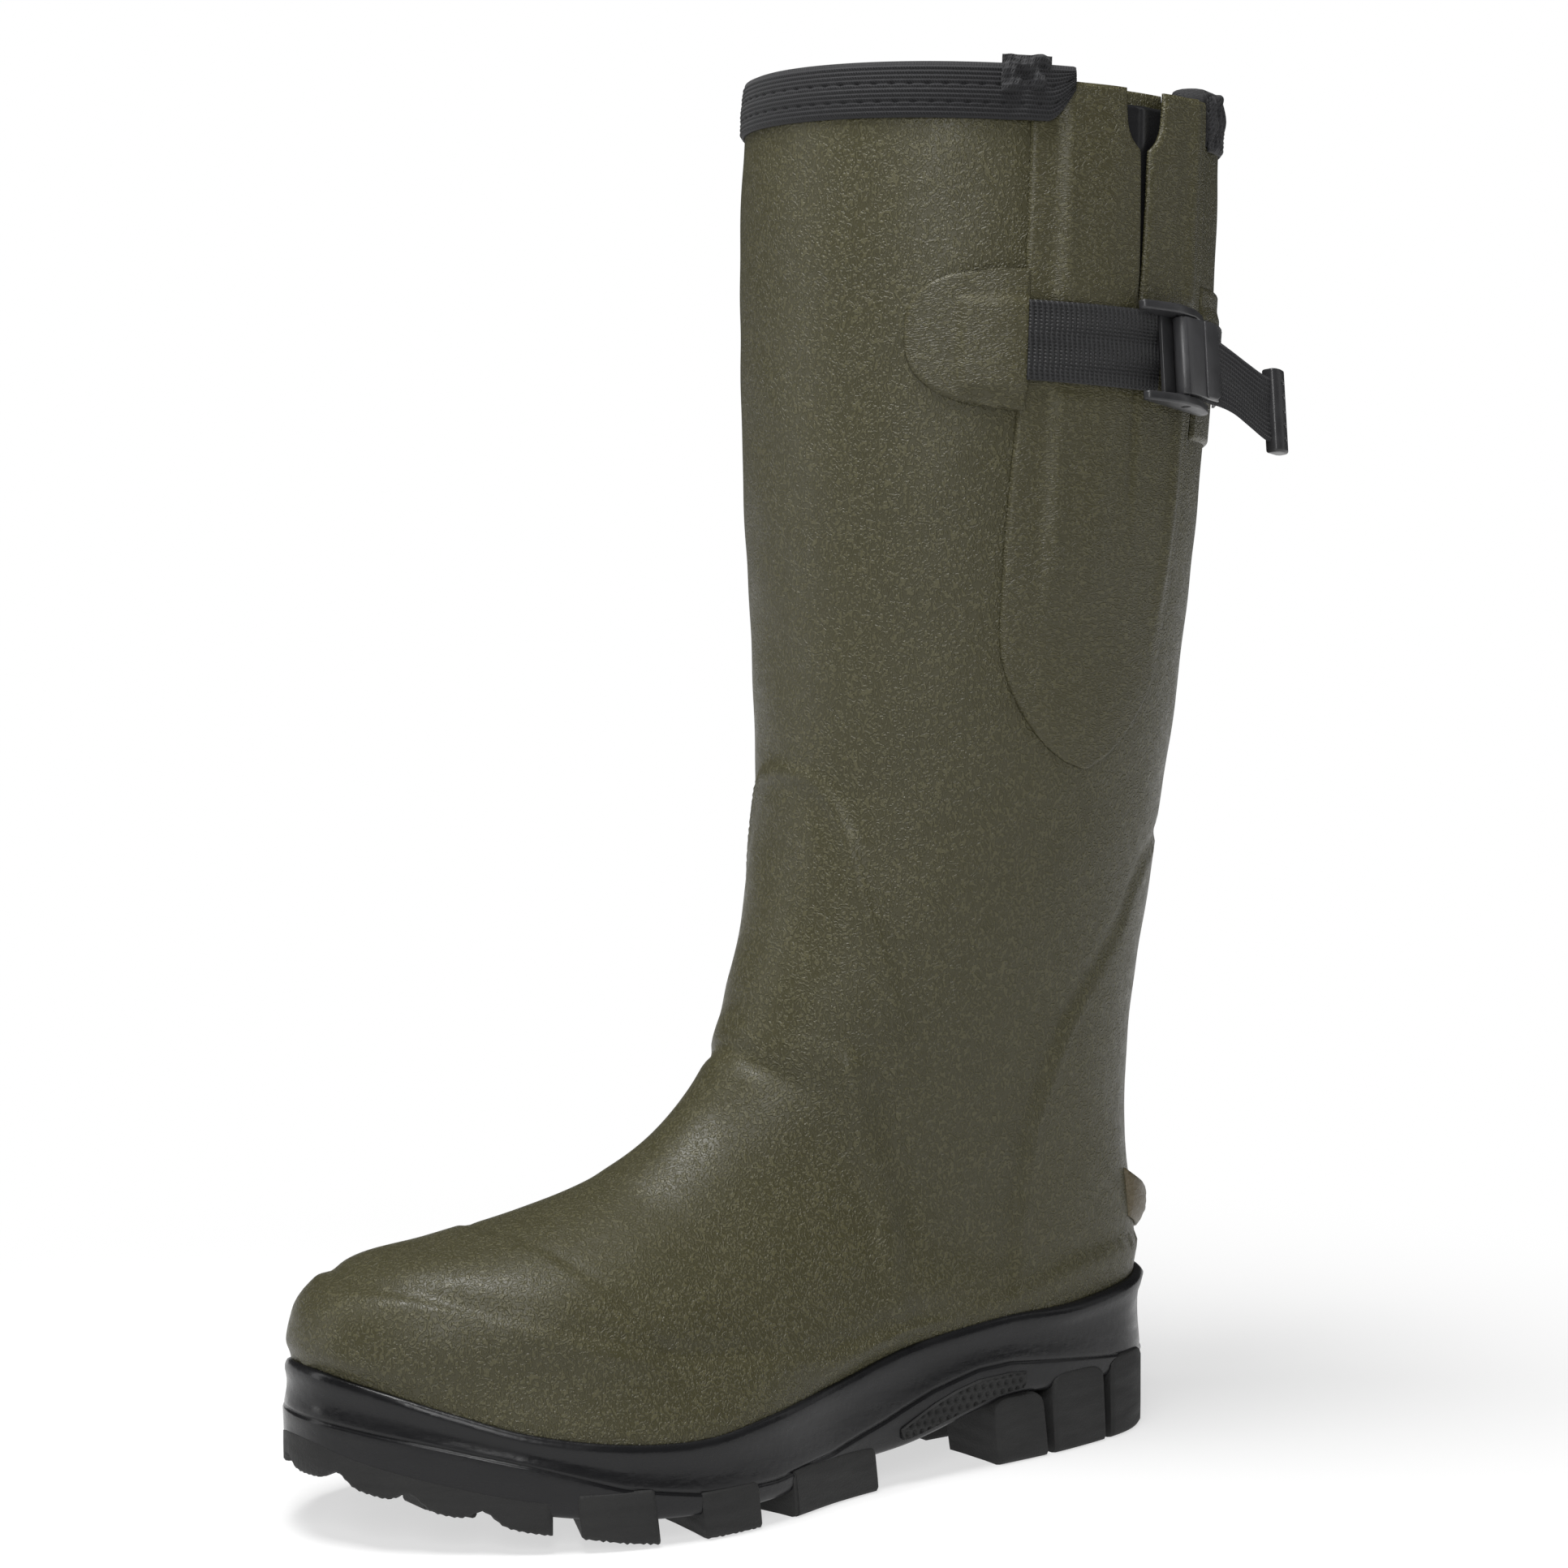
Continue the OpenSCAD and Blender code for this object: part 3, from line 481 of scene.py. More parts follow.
def group(name, inputs, outputs):
    tree = bpy.data.node_groups.new(name, "ShaderNodeTree")
    for label, kind, value in inputs:
        plug = tree.interface.new_socket(label, in_out="INPUT", socket_type="NodeSocket" + kind)
        if value is not None:
            plug.default_value = value
    for label, kind in outputs:
        tree.interface.new_socket(label, in_out="OUTPUT", socket_type="NodeSocket" + kind)
    return tree, tree.nodes.new("NodeGroupInput"), tree.nodes.new("NodeGroupOutput")


def use(tree, shared, *wires):
    made = tree.nodes.new("ShaderNodeGroup")
    made.node_tree = shared
    for key, value in wires:
        feed(tree, made.inputs[key], value)
    return made


# wormlike wrinkles of the mould's face: many level lines of a soft noise, broken by a finer one
wrinkle, w_in, w_out = group("wrinkle grain", [("Vector", "Vector", None), ("Size", "Float", 240.0)],
                             [("Height", "Float"), ("Crest", "Float")])
broad = place(wrinkle, "TexNoise", ("Vector", w_in.outputs["Vector"]),
              ("Scale", w_in.outputs["Size"]), ("Detail", 0.0))
finer = place(wrinkle, "Math", (0, w_in.outputs["Size"]), (1, 2.9), operation="MULTIPLY")
broken = place(wrinkle, "TexNoise", ("Vector", w_in.outputs["Vector"]),
               ("Scale", finer.outputs[0]), ("Detail", 1.0))
few = place(wrinkle, "Math", (0, broken.outputs["Fac"]), (1, 11.0), operation="MULTIPLY")
turns = place(wrinkle, "Math", (0, broad.outputs["Fac"]), (1, 25.0), (2, few.outputs[0]),
              operation="MULTIPLY_ADD")
wave = place(wrinkle, "Math", (0, turns.outputs[0]), operation="SINE")
crest = place(wrinkle, "MapRange", ("Value", wave.outputs[0]), ("From Min", -0.5),
              ("From Max", 1.0), ("To Min", 0.0), ("To Max", 1.0), interpolation_type="SMOOTHSTEP")
pores = place(wrinkle, "TexNoise", ("Vector", w_in.outputs["Vector"]), ("Scale", 1800.0),
              ("Detail", 1.0))
height = place(wrinkle, "Math", (0, pores.outputs["Fac"]), (1, 0.35), (2, crest.outputs["Result"]),
               operation="MULTIPLY_ADD")
wrinkle.links.new(height.outputs[0], w_out.inputs["Height"])
wrinkle.links.new(crest.outputs["Result"], w_out.inputs["Crest"])

# slow tone changes of an aged, handled surface
patina, p_in, p_out = group("uneven tone", [("Vector", "Vector", None), ("Size", "Float", 14.0)],
                            [("Tone", "Float"), ("Fine", "Float")])
cloud = place(patina, "TexNoise", ("Vector", p_in.outputs["Vector"]), ("Scale", p_in.outputs["Size"]),
              ("Detail", 4.0), ("Roughness", 0.6))
spots = place(patina, "TexNoise", ("Vector", p_in.outputs["Vector"]), ("Scale", 260.0), ("Detail", 3.0))
patina.links.new(cloud.outputs["Fac"], p_out.inputs["Tone"])
patina.links.new(spots.outputs["Fac"], p_out.inputs["Fine"])


def olive_rubber(name, stretch, size, dark, light, crest_highlight_colour, depth):
    """Matt olive rubber with moulded wrinkles, longer along the axes that stretch makes small, and a
    painted highlight that lightens the wrinkle crests.
    """
    mat, put, plug, tree = shader(name)
    spot = put("TexCoord").outputs["Object"]
    turned = put("Mapping", ("Vector", spot), ("Scale", stretch))
    grain = use(tree, wrinkle, ("Vector", turned.outputs["Vector"]), ("Size", size))
    tone = use(tree, patina, ("Vector", spot))
    base = put("Mix", (0, tone.outputs["Tone"]), (6, dark), (7, light), data_type="RGBA")
    # painted highlight: the wrinkle crests are mixed towards a lighter olive
    crest_highlight_amount = put("Math", (0, grain.outputs["Crest"]), (1, 0.62), operation="MULTIPLY")
    crest_highlighted = put("Mix", (0, crest_highlight_amount.outputs[0]), (6, base.outputs[2]), (7, crest_highlight_colour),
                 data_type="RGBA")
    rough = put("MapRange", ("Value", tone.outputs["Fine"]), ("From Min", 0.3), ("From Max", 0.7),
                ("To Min", 0.36), ("To Max", 0.48))
    bump = put("Bump", ("Height", grain.outputs["Height"]), ("Strength", 1.0), ("Distance", depth))
    plug("Base Color", crest_highlighted.outputs[2])
    plug("Roughness", rough.outputs["Result"])
    plug("Normal", bump.outputs["Normal"])
    plug("Specular IOR Level", 0.4)
    return mat


# the last colour is the painted highlight on the wrinkle crests
upper_rubber = olive_rubber("olive upper rubber", (1.0, 1.0, 0.8), 370.0, (0.037, 0.034, 0.0145, 1),
                            (0.056, 0.051, 0.023, 1), (0.092, 0.085, 0.042, 1), 0.00026)
upper.data.materials.append(upper_rubber)
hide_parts("rubber_upper", "front_panel", "toe_cap", "heel_panel", "foxing")
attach(upper, "boot")

# ---- Stiffeners, insole board, shank and heel core ----
# Hidden inside the boot: a fibre toe puff and heel counter, a pressed board, a sprung steel
# shank and a foam heel core. Their CAD shapes stay and take these finishes.


def plain_finish(name, low, high, rough, metal, size, depth):
    mat, put, plug, _ = shader(name)
    spot = put("TexCoord").outputs["Object"]
    fleck = put("TexNoise", ("Vector", spot), ("Scale", size), ("Detail", 4.0))
    tone = put("Mix", (0, fleck.outputs["Fac"]), (6, low), (7, high), data_type="RGBA")
    bump = put("Bump", ("Height", fleck.outputs["Fac"]), ("Strength", 0.5), ("Distance", depth))
    plug("Base Color", tone.outputs[2])
    plug("Normal", bump.outputs["Normal"])
    plug("Roughness", rough)
    plug("Metallic", metal)
    return mat


def finish_node(mat, *names):
    for name in names:
        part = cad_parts[name]
        part.data.materials.clear()
        part.data.materials.append(mat)


finish_node(plain_finish("pressed fibre", (0.16, 0.13, 0.09, 1), (0.24, 0.20, 0.14, 1), 0.8, 0,
                         420.0, 0.0002), "toe_puff", "heel_counter", "insole_board")
finish_node(plain_finish("spring steel", (0.42, 0.42, 0.43, 1), (0.55, 0.55, 0.56, 1), 0.32, 1,
                         90.0, 0.00005), "steel_shank")
finish_node(plain_finish("grey foam", (0.10, 0.10, 0.10, 1), (0.17, 0.17, 0.17, 1), 0.9, 0,
                         900.0, 0.0004), "heel_core")
finish_node(plain_finish("blackened steel", (0.05, 0.05, 0.052, 1), (0.09, 0.09, 0.092, 1), 0.35, 1,
                         300.0, 0.00004), "buckle_pin")

# ---- Lining and footbed ----
# Neoprene sock faced with dark jersey, glued in from the mouth to the toe, and a loose felt
# footbed cut to the foot's outline.
lining_u = np.concatenate([np.linspace(0.13, 9.3, 96), np.linspace(9.4, 14.6, 40), [14.9, 15.2]])
lining_t = np.arange(96) * 3.75
LU, LT = np.meshgrid(lining_u, lining_t, indexing="ij")
in_slot = between(LT, 80, 117, 6, 6)
lining_out = -4.3 + 1.95 * (1 - soft_step(LU - 1.4, 1.2)) * (1 - in_slot)
lip = 0.9 * (1 - soft_step(LU - 0.16, 0.08))
quilt = 0.12 * np.sin(LU * 9) * np.sin(np.radians(LT) * 11)
inner_lu = np.minimum(LU, 14.7 + (LU - LU.max()) * 0.2)
lining = layer("lining", skin(LU, LT, lining_out - lip), skin(inner_lu, LT, -7.3 + lip + quilt),
               wrap=True, tip=True)


def knit_cloth(name, dark, light, rows_per_m, depth, rough, sheen):
    mat, put, plug, _ = shader(name)
    spot = put("TexCoord").outputs["Object"]
    loops = put("TexWave", ("Vector", spot), ("Scale", rows_per_m),
                ("Distortion", 1.6), ("Detail", 1.0), ("Detail Scale", 2.0),
                wave_type="BANDS", bands_direction="Z")
    fluff = put("TexNoise", ("Vector", spot), ("Scale", 900.0), ("Detail", 3.0))
    both = put("Math", (0, fluff.outputs["Fac"]), (1, 0.8), (2, loops.outputs["Fac"]),
               operation="MULTIPLY_ADD")
    tone = put("Mix", (0, fluff.outputs["Fac"]), (6, dark), (7, light), data_type="RGBA")
    bump = put("Bump", ("Height", both.outputs[0]), ("Strength", 0.6), ("Distance", depth))
    plug("Base Color", tone.outputs[2])
    plug("Normal", bump.outputs["Normal"])
    plug("Roughness", rough)
    plug("Sheen Weight", sheen)
    plug("Sheen Roughness", 0.5)
    return mat


lining.data.materials.append(knit_cloth("jersey lining", (0.012, 0.012, 0.013, 1),
                                        (0.032, 0.032, 0.035, 1), 150.0, 0.0003, 0.85, 0.25))
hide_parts("lining_sock")
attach(lining, "boot")

bed_u = np.linspace(9.02, 13.98, 90)
bed_edge = np.interp(bed_u, [9, 10, 12, 14.2], [155, 143, 141, 145])
across = np.linspace(0, 1, 41)
bed_angle = bed_edge[:, None] + (360 - 2 * bed_edge[:, None]) * across
bed_t = even(bed_u[:, None], bed_angle)
rim_gap = np.minimum(np.minimum(across, 1 - across)[None, :] * 70,
                     np.minimum(bed_u - bed_u[0], bed_u[-1] - bed_u)[:, None] * 24)
rounded = 1.6 * np.clip(1 - rim_gap / 3, 0, 1) ** 2
footbed = layer("felt_footbed", skin(bed_u[:, None], bed_t, -13 + rounded),
                skin(bed_u[:, None], bed_t, -8.6 - rounded * 0.3))
footbed.data.materials.append(knit_cloth("grey felt", (0.045, 0.048, 0.052, 1),
                                         (0.11, 0.115, 0.12, 1), 60.0, 0.0006, 0.95, 0.4))
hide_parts("footbed")
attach(footbed, "boot")

# ---- Sole unit ----
# Black rubber tub moulded round the foot: a shiny rand with a rolled lip, a parting line left
# by the mould, a bead and a small recess at the heel, and a slab that carries the lugs.
PARTING = [[-148, 36], [-130, 32], [-105, 25.5], [-80, 17.5], [-55, 13.5], [-30, 13], [-5, 15.5],
           [18, 21], [38, 27.5], [55, 31.5], [68, 32], [95, 29], [125, 25.5], [147, 23.5]]
# lowest height of the tread along the boot, rising to the toe
SPRING = [[-148, 19], [-128, 12], [-105, 6], [-82, 1.5], [-70, 0], [150, 0]]

n_side = 460
ring_s = np.arange(n_side) * girth / n_side
_, ry, _, _, rtop, rlow = around(ring_s)
heel_bead, heel_recess = 1.5, 1.5
part_z = table(PARTING, ry)
at_heel = soft_step(ry - 84, 30)
levels = [(-6.0, rtop - 5), (-3.0, rtop - 1.4), (-1.7, rtop - 0.25), (-0.9, rtop), (-0.25, rtop - 0.3),
          (0.25, rtop - 1.0), (0.55, rtop - 2.0)]
for f, out in ((0.12, 0.55), (0.24, 0.3), (0.36, 0.1), (0.48, 0.05), (0.6, 0.15), (0.72, 0.35),
               (0.84, 0.6), (0.94, 0.8)):
    levels.append((out, rtop - 2 + (part_z + 0.5 - rtop + 2) * f))
levels += [(0.85, part_z + 0.45), (0.35, part_z + 0.05), (1.15, part_z - 0.4), (1.3, part_z - 1)]
for f in (0.2, 0.4, 0.6, 0.8, 1.0):
    levels.append((1.3 - 0.3 * f, part_z - 1 + (rlow + 2.6 - part_z + 1) * f))
levels += [(0.6, rlow + 1.3), (-0.2, rlow + 0.4), (-1.6, rlow + 0.0)]
rings = []
for out, z in levels:
    out = out + heel_bead * at_heel * hump(z - rtop + 2.6, 2.6) * (out > -0.5)
    back = soft_step(ry - 139, 3) * between(z, 30.5, 42, 1.6, 1.6)
    rings.append(sole_point(ring_s, out - heel_recess * back, z))
rings = np.array(rings)
n_rings = len(rings)
half = n_side // 2
floor_pts, floor_faces = [], []
bottom = (n_rings - 1) * n_side
columns = 13
ids = {}
for j in range(1, half):
    left, right = rings[-1][j], rings[-1][n_side - j]
    for c in range(1, columns):
        ids[j, c] = n_rings * n_side + len(floor_pts)
        floor_pts.append(left + (right - left) * c / columns)
    ids[j, 0], ids[j, columns] = bottom + j, bottom + n_side - j
for j in range(1, half - 1):
    for c in range(columns):
        floor_faces.append([ids[j, c], ids[j, c + 1], ids[j + 1, c + 1], ids[j + 1, c]])
floor_faces.append([bottom] + [ids[1, c] for c in range(columns + 1)])
floor_faces.append([bottom + half] + [ids[half - 1, c] for c in range(columns, -1, -1)])
lid = [list(range(n_side))]
wall = [[r * n_side + k, r * n_side + (k + 1) % n_side, (r + 1) * n_side + (k + 1) % n_side,
         (r + 1) * n_side + k] for r in range(n_rings - 1) for k in range(n_side)]
sole = link_piece("sole_tub", np.vstack([rings.reshape(-1, 3), floor_pts]), wall + floor_faces + lid)


def black_rubber(name, dark, light, rough_low, rough_high, grain, depth):
    mat, put, plug, tree = shader(name)
    spot = put("TexCoord").outputs["Object"]
    tone = use(tree, patina, ("Vector", spot), ("Size", 26.0))
    drawn = put("Mapping", ("Vector", spot), ("Scale", (1.0, 1.0, 5.0)))
    streak = put("TexNoise", ("Vector", drawn.outputs["Vector"]), ("Scale", 60.0), ("Detail", 5.0))
    speck = put("TexNoise", ("Vector", spot), ("Scale", grain), ("Detail", 3.0))
    both = put("Math", (0, streak.outputs["Fac"]), (1, speck.outputs["Fac"]), operation="ADD")
    base = put("Mix", (0, tone.outputs["Tone"]), (6, dark), (7, light), data_type="RGBA")
    rough = put("MapRange", ("Value", streak.outputs["Fac"]), ("From Min", 0.3), ("From Max", 0.7),
                ("To Min", rough_low), ("To Max", rough_high))
    bump = put("Bump", ("Height", both.outputs[0]), ("Strength", 0.5), ("Distance", depth))
    plug("Base Color", base.outputs[2])
    plug("Roughness", rough.outputs["Result"])
    plug("Normal", bump.outputs["Normal"])
    plug("Specular IOR Level", 0.3)
    return mat


rand_rubber = black_rubber("black rand rubber", (0.006, 0.006, 0.0065, 1), (0.012, 0.012, 0.013, 1),
                           0.2, 0.36, 420.0, 0.00018)
tread_rubber = black_rubber("matt tread rubber", (0.013, 0.013, 0.0135, 1),
                            (0.028, 0.028, 0.027, 1), 0.6, 0.78, 1500.0, 0.0004)
sole.data.materials.append(rand_rubber)
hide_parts("sole_unit")
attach(sole, "boot")

# dimpled grip pads let into both sides of the waist, under the parting line
dot_pitch, dot_rows = 3.0, 2.6
pads = []
for side in (1, -1):
    pad_s = np.linspace(outline_at(74, side), outline_at(24, side), 150)
    _, py, _, _, _, plow = around(pad_s)
    span = (pad_s - pad_s[0]) / (pad_s[-1] - pad_s[0])
    high = table(PARTING, py) - 3.2 - 3.5 * np.clip(span * 1.6 - 0.9, 0, 1)
    low_edge = np.maximum(plow + 2.5, high - 13 * np.sqrt(np.clip(1 - (2 * span - 1) ** 2, 0, 1)))
    v = np.linspace(0, 1, 46)
    z = high[:, None] + (low_edge - high)[:, None] * v
    mm = np.abs(pad_s - pad_s[0])[:, None] + 0 * z
    row = np.round((z - z.max()) / dot_rows)
    dot = np.hypot((mm + dot_pitch / 2 * (row % 2)) % dot_pitch - dot_pitch / 2,
                   (z - z.max()) - row * dot_rows)
    rim = np.minimum(np.minimum(v, 1 - v)[None, :] * 12, np.minimum(span, 1 - span)[:, None] * 40)
    face = 1.55 + 0.75 * np.clip(rim / 0.8, 0, 1) - 0.95 * hump(dot, 0.85) * (rim > 1)
    pads.append(layer(f"waist_grip_{'outer' if side > 0 else 'inner'}",
                      sole_point(pad_s[:, None] + 0 * z, face, z),
                      sole_point(pad_s[:, None] + 0 * z, 0 * z - 0.5, z)))
for pad in pads:
    pad.data.materials.append(tread_rubber)
    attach(pad, "boot")

# ---- Tread lugs ----
# Matt cleats of the same rubber. Side lugs climb the wall with a proud face and saw teeth at
# thEIR_PLACEHOLDER


tooth_pitch = 2.3


def merge(name, parts, run=None):
    """Several lists of rings, each a closed solid, as one piece."""
    points, faces = [], []
    for rings in parts:
        nu, na = rings.shape[:2]
        base = len(points)
        points += rings.reshape(-1, 3).tolist()
        faces += [[base + i * na + k, base + i * na + (k + 1) % na, base + (i + 1) * na + (k + 1) % na,
                   base + (i + 1) * na + k] for i in range(nu - 1) for k in range(na)]
        faces += [list(range(base, base + na)), list(range(base + (nu - 1) * na, base + nu * na))]
    return link_piece(name, points, faces, run)


def side_lug(y0, y1, side, depth, top, round_top=0.0, teeth=0.0, lean=2.0):
    """Rings of a lug on the sole's edge from y0 to y1, with a face that reaches up to top."""
    ends = outline_at(y0, side), outline_at(y1, side)
    width = abs(ends[1] - ends[0])
    n = max(14, int(width / 0.9))
    f = np.linspace(0, 1, n)
    f = np.concatenate([[0.0, 0.03], f[1:-1], [0.97, 1.0]])
    squeeze = np.concatenate([[0.7], [0.15], np.zeros(len(f) - 4), [0.15], [0.7]])
    rings = []
    for fi, sq in zip(f, squeeze):
        s = ends[0] + (ends[1] - ends[0]) * fi
        y, low = around(s)[1], around(s)[5]
        saw = teeth * abs((fi * width / tooth_pitch) % 1 - 0.5) * 2
        ground = table(SPRING, y) + saw + 0.02
        arch = (1 - math.sqrt(max(0.0, 1 - (2 * fi - 1) ** 4))) * round_top
        high = top - arch - sq * 0.8
        face = 1.9 - sq
        section = [(-1.0, high + 0.3), (0.7, high), (face - 0.3, high - 0.5), (face, high - 1.4)]
        for g in (0.25, 0.5, 0.75):
            section.append((face, high - 1.4 + (ground + 1.5 - high + 1.4) * g))
        section += [(face - 0.1, ground + 1.4), (face - 0.7, ground + 0.4), (face - 1.6, ground)]
        for g in (0.25, 0.5, 0.75):
            section.append((face - 1.6 - (depth - 2) * g, ground + 0.15))
        section += [(-depth + 1, ground), (-depth + 0.2 + sq, ground + 0.8), (-depth - 1 + sq, low + 1),
                    (-depth / 2, low + 1.5)]
        out, z = np.array(section).T
        slide = lean * (1 - np.clip(z / top, 0, 1)) * (1 if side > 0 else -1)
        rings.append(sole_point(s - slide, out, z))
    return np.array(rings)


def toe_block():
    """Rings of the scalloped tread that runs round the toe."""
    start, stop = outline_at(-99, 1), outline_at(-99, -1)
    s_all = np.linspace(start, stop, 190)
    rings = []
    scallops = [0.13, 0.27, 0.42, 0.58, 0.73, 0.87]
    for i, s in enumerate(s_all):
        f = i / (len(s_all) - 1)
        y, low = around(s)[1], around(s)[5]
        end = min(f, 1 - f) * 190
        sq = max(0.0, 1 - end / 1.5)
        bite = max(hump((f - c) * (stop - start), 4.2) for c in scallops)
        ground = table(SPRING, y) + 0.5 * abs((s / tooth_pitch) % 1 - 0.5) * 2 + 3.4 * bite
        high = low + 5
        face = 1.2 - sq
        section = [(-1, high), (face, high - 0.6), (face + 0.05, (high + ground) / 2 + 0.5),
                   (face, ground + 1.0), (face - 0.6, ground + 0.2), (face - 1.6, ground),
                   (-5, ground + 0.1), (-9, ground + 0.1 - 1.8 * bite), (-11, ground + 0.4 - 1.8 * bite),
                   (-12.5, low + 1.2), (-7, low + 2)]
        out, z = np.array(section).T
        rings.append(sole_point(np.full(len(out), s), out, z))
    return np.array(rings)


def bar(corners):
    """Rings of a centre bar with chamfered foot, from a plan outline in mm."""
    plan = np.array(corners, float)
    middle = plan.mean(0)
    low = table(np.array([around(ring_s)[1][:half], rlow[:half]]).T[::-1], plan[:, 1])
    ground = table(SPRING, plan[:, 1]) + 0.03
    rings = []
    for shrink, z in ((1.04, low + 1.5), (0.98, ground + 1.1), (0.94, ground + 0.3), (0.88, ground)):
        xy = middle + (plan - middle) * shrink
        rings.append((np.column_stack([xy, z]) - BOX_MIDDLE) * MM)
    return np.array(rings)


forefoot = [toe_block()]
for side in (1, -1):
    forefoot += [side_lug(-93, -72, side, 24, 17, teeth=0.7),
                 side_lug(-58, -38, side, 24, 14.2, teeth=0.45),
                 side_lug(-24, 13, side, 22, 14.5, round_top=1.0)]
for y in (-20, -46, -72):
    forefoot.append(bar([[-14, y], [0, y + 5], [14, y], [14, y + 10], [0, y + 15], [-14, y + 10]]))
forefoot.append(bar([[-15, -124], [-3, -124], [4, -90], [-11, -90]]))
for x in (-31, 9):
    forefoot.append(bar([[x, -128], [x + 12, -128], [x + 15, -112], [x - 1, -112]]))
forefoot_tread = merge("forefoot_tread", forefoot)
heel_parts = []
for side in (1, -1):
    heel_parts += [side_lug(60, 80.6, side, 24, 21.5, round_top=4.5, lean=3.0),
                   side_lug(84.4, 108.4, side, 24, 25.5, round_top=4.5, lean=2.0),
                   side_lug(112, 132.5, side, 18, 26.5, round_top=4.5, lean=1.0)]
heel_parts += [bar([[-8, 62], [8, 62], [8, 76], [0, 82], [-8, 76]]),
               bar([[-8, 90], [0, 84], [8, 90], [8, 106], [-8, 106]]),
               bar([[-8, 114], [8, 114], [10, 134], [6, 141], [-8, 141], [-11, 134]])]
heel_tread = merge("heel_tread", heel_parts)
for tread, node in ((forefoot_tread, "forefoot_lugs"), (heel_tread, "heel_lugs")):
    tread.data.materials.append(tread_rubber)
    pick(tread)
    bpy.ops.object.shade_smooth_by_angle(angle=math.radians(38))
    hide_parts(node)
    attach(tread, "boot")

# ---- Kick-off spur ----
# A brown-olive ledge cured on the back of the heel, thick at its top, for the other foot to
# hold while the boot comes off.
spur_u = np.linspace(7.36, 7.8, 34)
spur_a = np.linspace(146, 214, 90)
SU, SA = np.meshgrid(spur_u, spur_a, indexing="ij")
down = (SU - spur_u[0]) / (spur_u[-1] - spur_u[0])
sideways = np.clip(1 - ((SA - 180) / 34) ** 2, 0, 1) ** 0.45
ledge = np.interp(down, [0, 0.05, 0.12, 0.25, 0.55, 0.85, 1], [0.12, 0.86, 1, 1, 0.8, 0.34, 0.05])
ribs = 0.1 * np.cos(down * math.pi * 10) * (down > 0.15) * (down < 0.75)
proud = 1.4 + (6.3 * ledge + ribs) * sideways
spur = layer("kick_spur_ledge", skin(SU, even(SU, SA), proud), skin(SU, even(SU, SA), 0.2))
# the last colour is the painted highlight on the spur's wrinkle crests
spur.data.materials.append(olive_rubber("brown spur rubber", (1.0, 1.0, 1.0), 260.0,
                                        (0.070, 0.055, 0.028, 1), (0.098, 0.078, 0.042, 1),
                                        (0.12, 0.098, 0.058, 1), 0.00008))
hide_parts("kick_spur")
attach(spur, "boot")

# ---- Gusset ----
# A U-shaped olive panel over the calf opening, slit from the mouth so that it spreads over
# trousers. Its edges are cut round, two low welts run down it, and a black pleat closes the
# opening behind the slit.
GUSSET_FRONT = [[0.1, 63], [1.2, 63], [2, 62.5], [2.6, 61.3], [3.3, 60.2], [3.8, 60.5], [4.1, 65],
                [4.35, 74], [4.48, 84], [4.52, 92]]
GUSSET_BACK = [[0.1, 125.5], [1.2, 124.5], [2, 123.5], [2.6, 122.5], [3.3, 120.5], [3.85, 118.5],
               [4.1, 113.5], [4.35, 104.5], [4.48, 96.5], [4.52, 93]]
SLIT = [[0.1, 7.1], [0.2, 6.9], [0.34, 6.3], [0.43, 4.7], [0.49, 2.4], [0.53, 1.5], [0.8, 1.15],
        [1.1, 0.75], [1.45, 0.34], [1.6, 0.3], [4.6, 0.3]]
slit_angle = 98
gusset_u = np.concatenate([np.linspace(0.1, 0.6, 26), np.linspace(0.64, 3.6, 92),
                           3.6 + 0.92 * np.sin(np.linspace(0, math.pi / 2, 44))[1:]])
front_cols, back_cols = 46, 38


def rows_at(rows, u):
    rows = np.array(rows, float)
    fine = smooth_rows(rows, np.linspace(0, len(rows) - 1, 800))
    return np.interp(u, fine[:, 0], fine[:, 1])


g_front, g_back, g_slit = [rows_at(r, gusset_u) for r in (GUSSET_FRONT, GUSSET_BACK, SLIT)]
lip_a = np.clip(slit_angle - g_slit, g_front, g_back)
lip_b = np.clip(slit_angle + g_slit, g_front, g_back)
low_end = soft_step(gusset_u - 4.2, 0.4)
mid = (g_front + g_back) / 2
lip_a = lip_a * (1 - low_end) + (mid - 0.15) * low_end
lip_b = lip_b * (1 - low_end) + (mid + 0.15) * low_end
GA = np.concatenate([
    g_front[:, None] + (lip_a - g_front)[:, None] * np.linspace(0, 1, front_cols),
    lip_b[:, None] + (g_back - lip_b)[:, None] * np.linspace(0, 1, back_cols)], 1)
GU = gusset_u[:, None] + 0 * GA
GT = even(GU, GA)
flat = skin(GU, GT, 1.6)
slit_open = gusset_u < 1.5
rim_points = [flat[:, 0], flat[:, -1], flat[0, :], flat[-1, :],
              flat[slit_open, front_cols - 1], flat[slit_open, front_cols]]
rim_points = np.vstack([p[:-1] + (p[1:] - p[:-1]) * f for p in rim_points for f in (0, 0.34, 0.67)])
edge_gap = gap_to(flat, rim_points)
welt = 1.2 * soft_step(GA - 72, 5.5) + 0.6 * hump(GA - 73.5, 2.4) - 0.8 * soft_step(GA - 90, 9)
welt += 1.35 * hump(GA - 117.5 + 1.1 * (GU - 1), 2.4) + 0.45 * soft_step(GA - 107, 6)
welt *= 1 - soft_step(GU - 3.5, 0.9)
crease = 0.8 * hump((GA - slit_angle) * 1.15, 1.4) * between(GU, 1.4, 2.8, 0.2, 0.8)
pillow = 0.25 * np.sin(GU * 5.2 + GA * 0.05) * soft_step(edge_gap - 5, 8)
panel_out = 1.75 + welt + pillow - crease - 0.85 * np.clip(1 - edge_gap / 1.5, 0, 1) ** 2
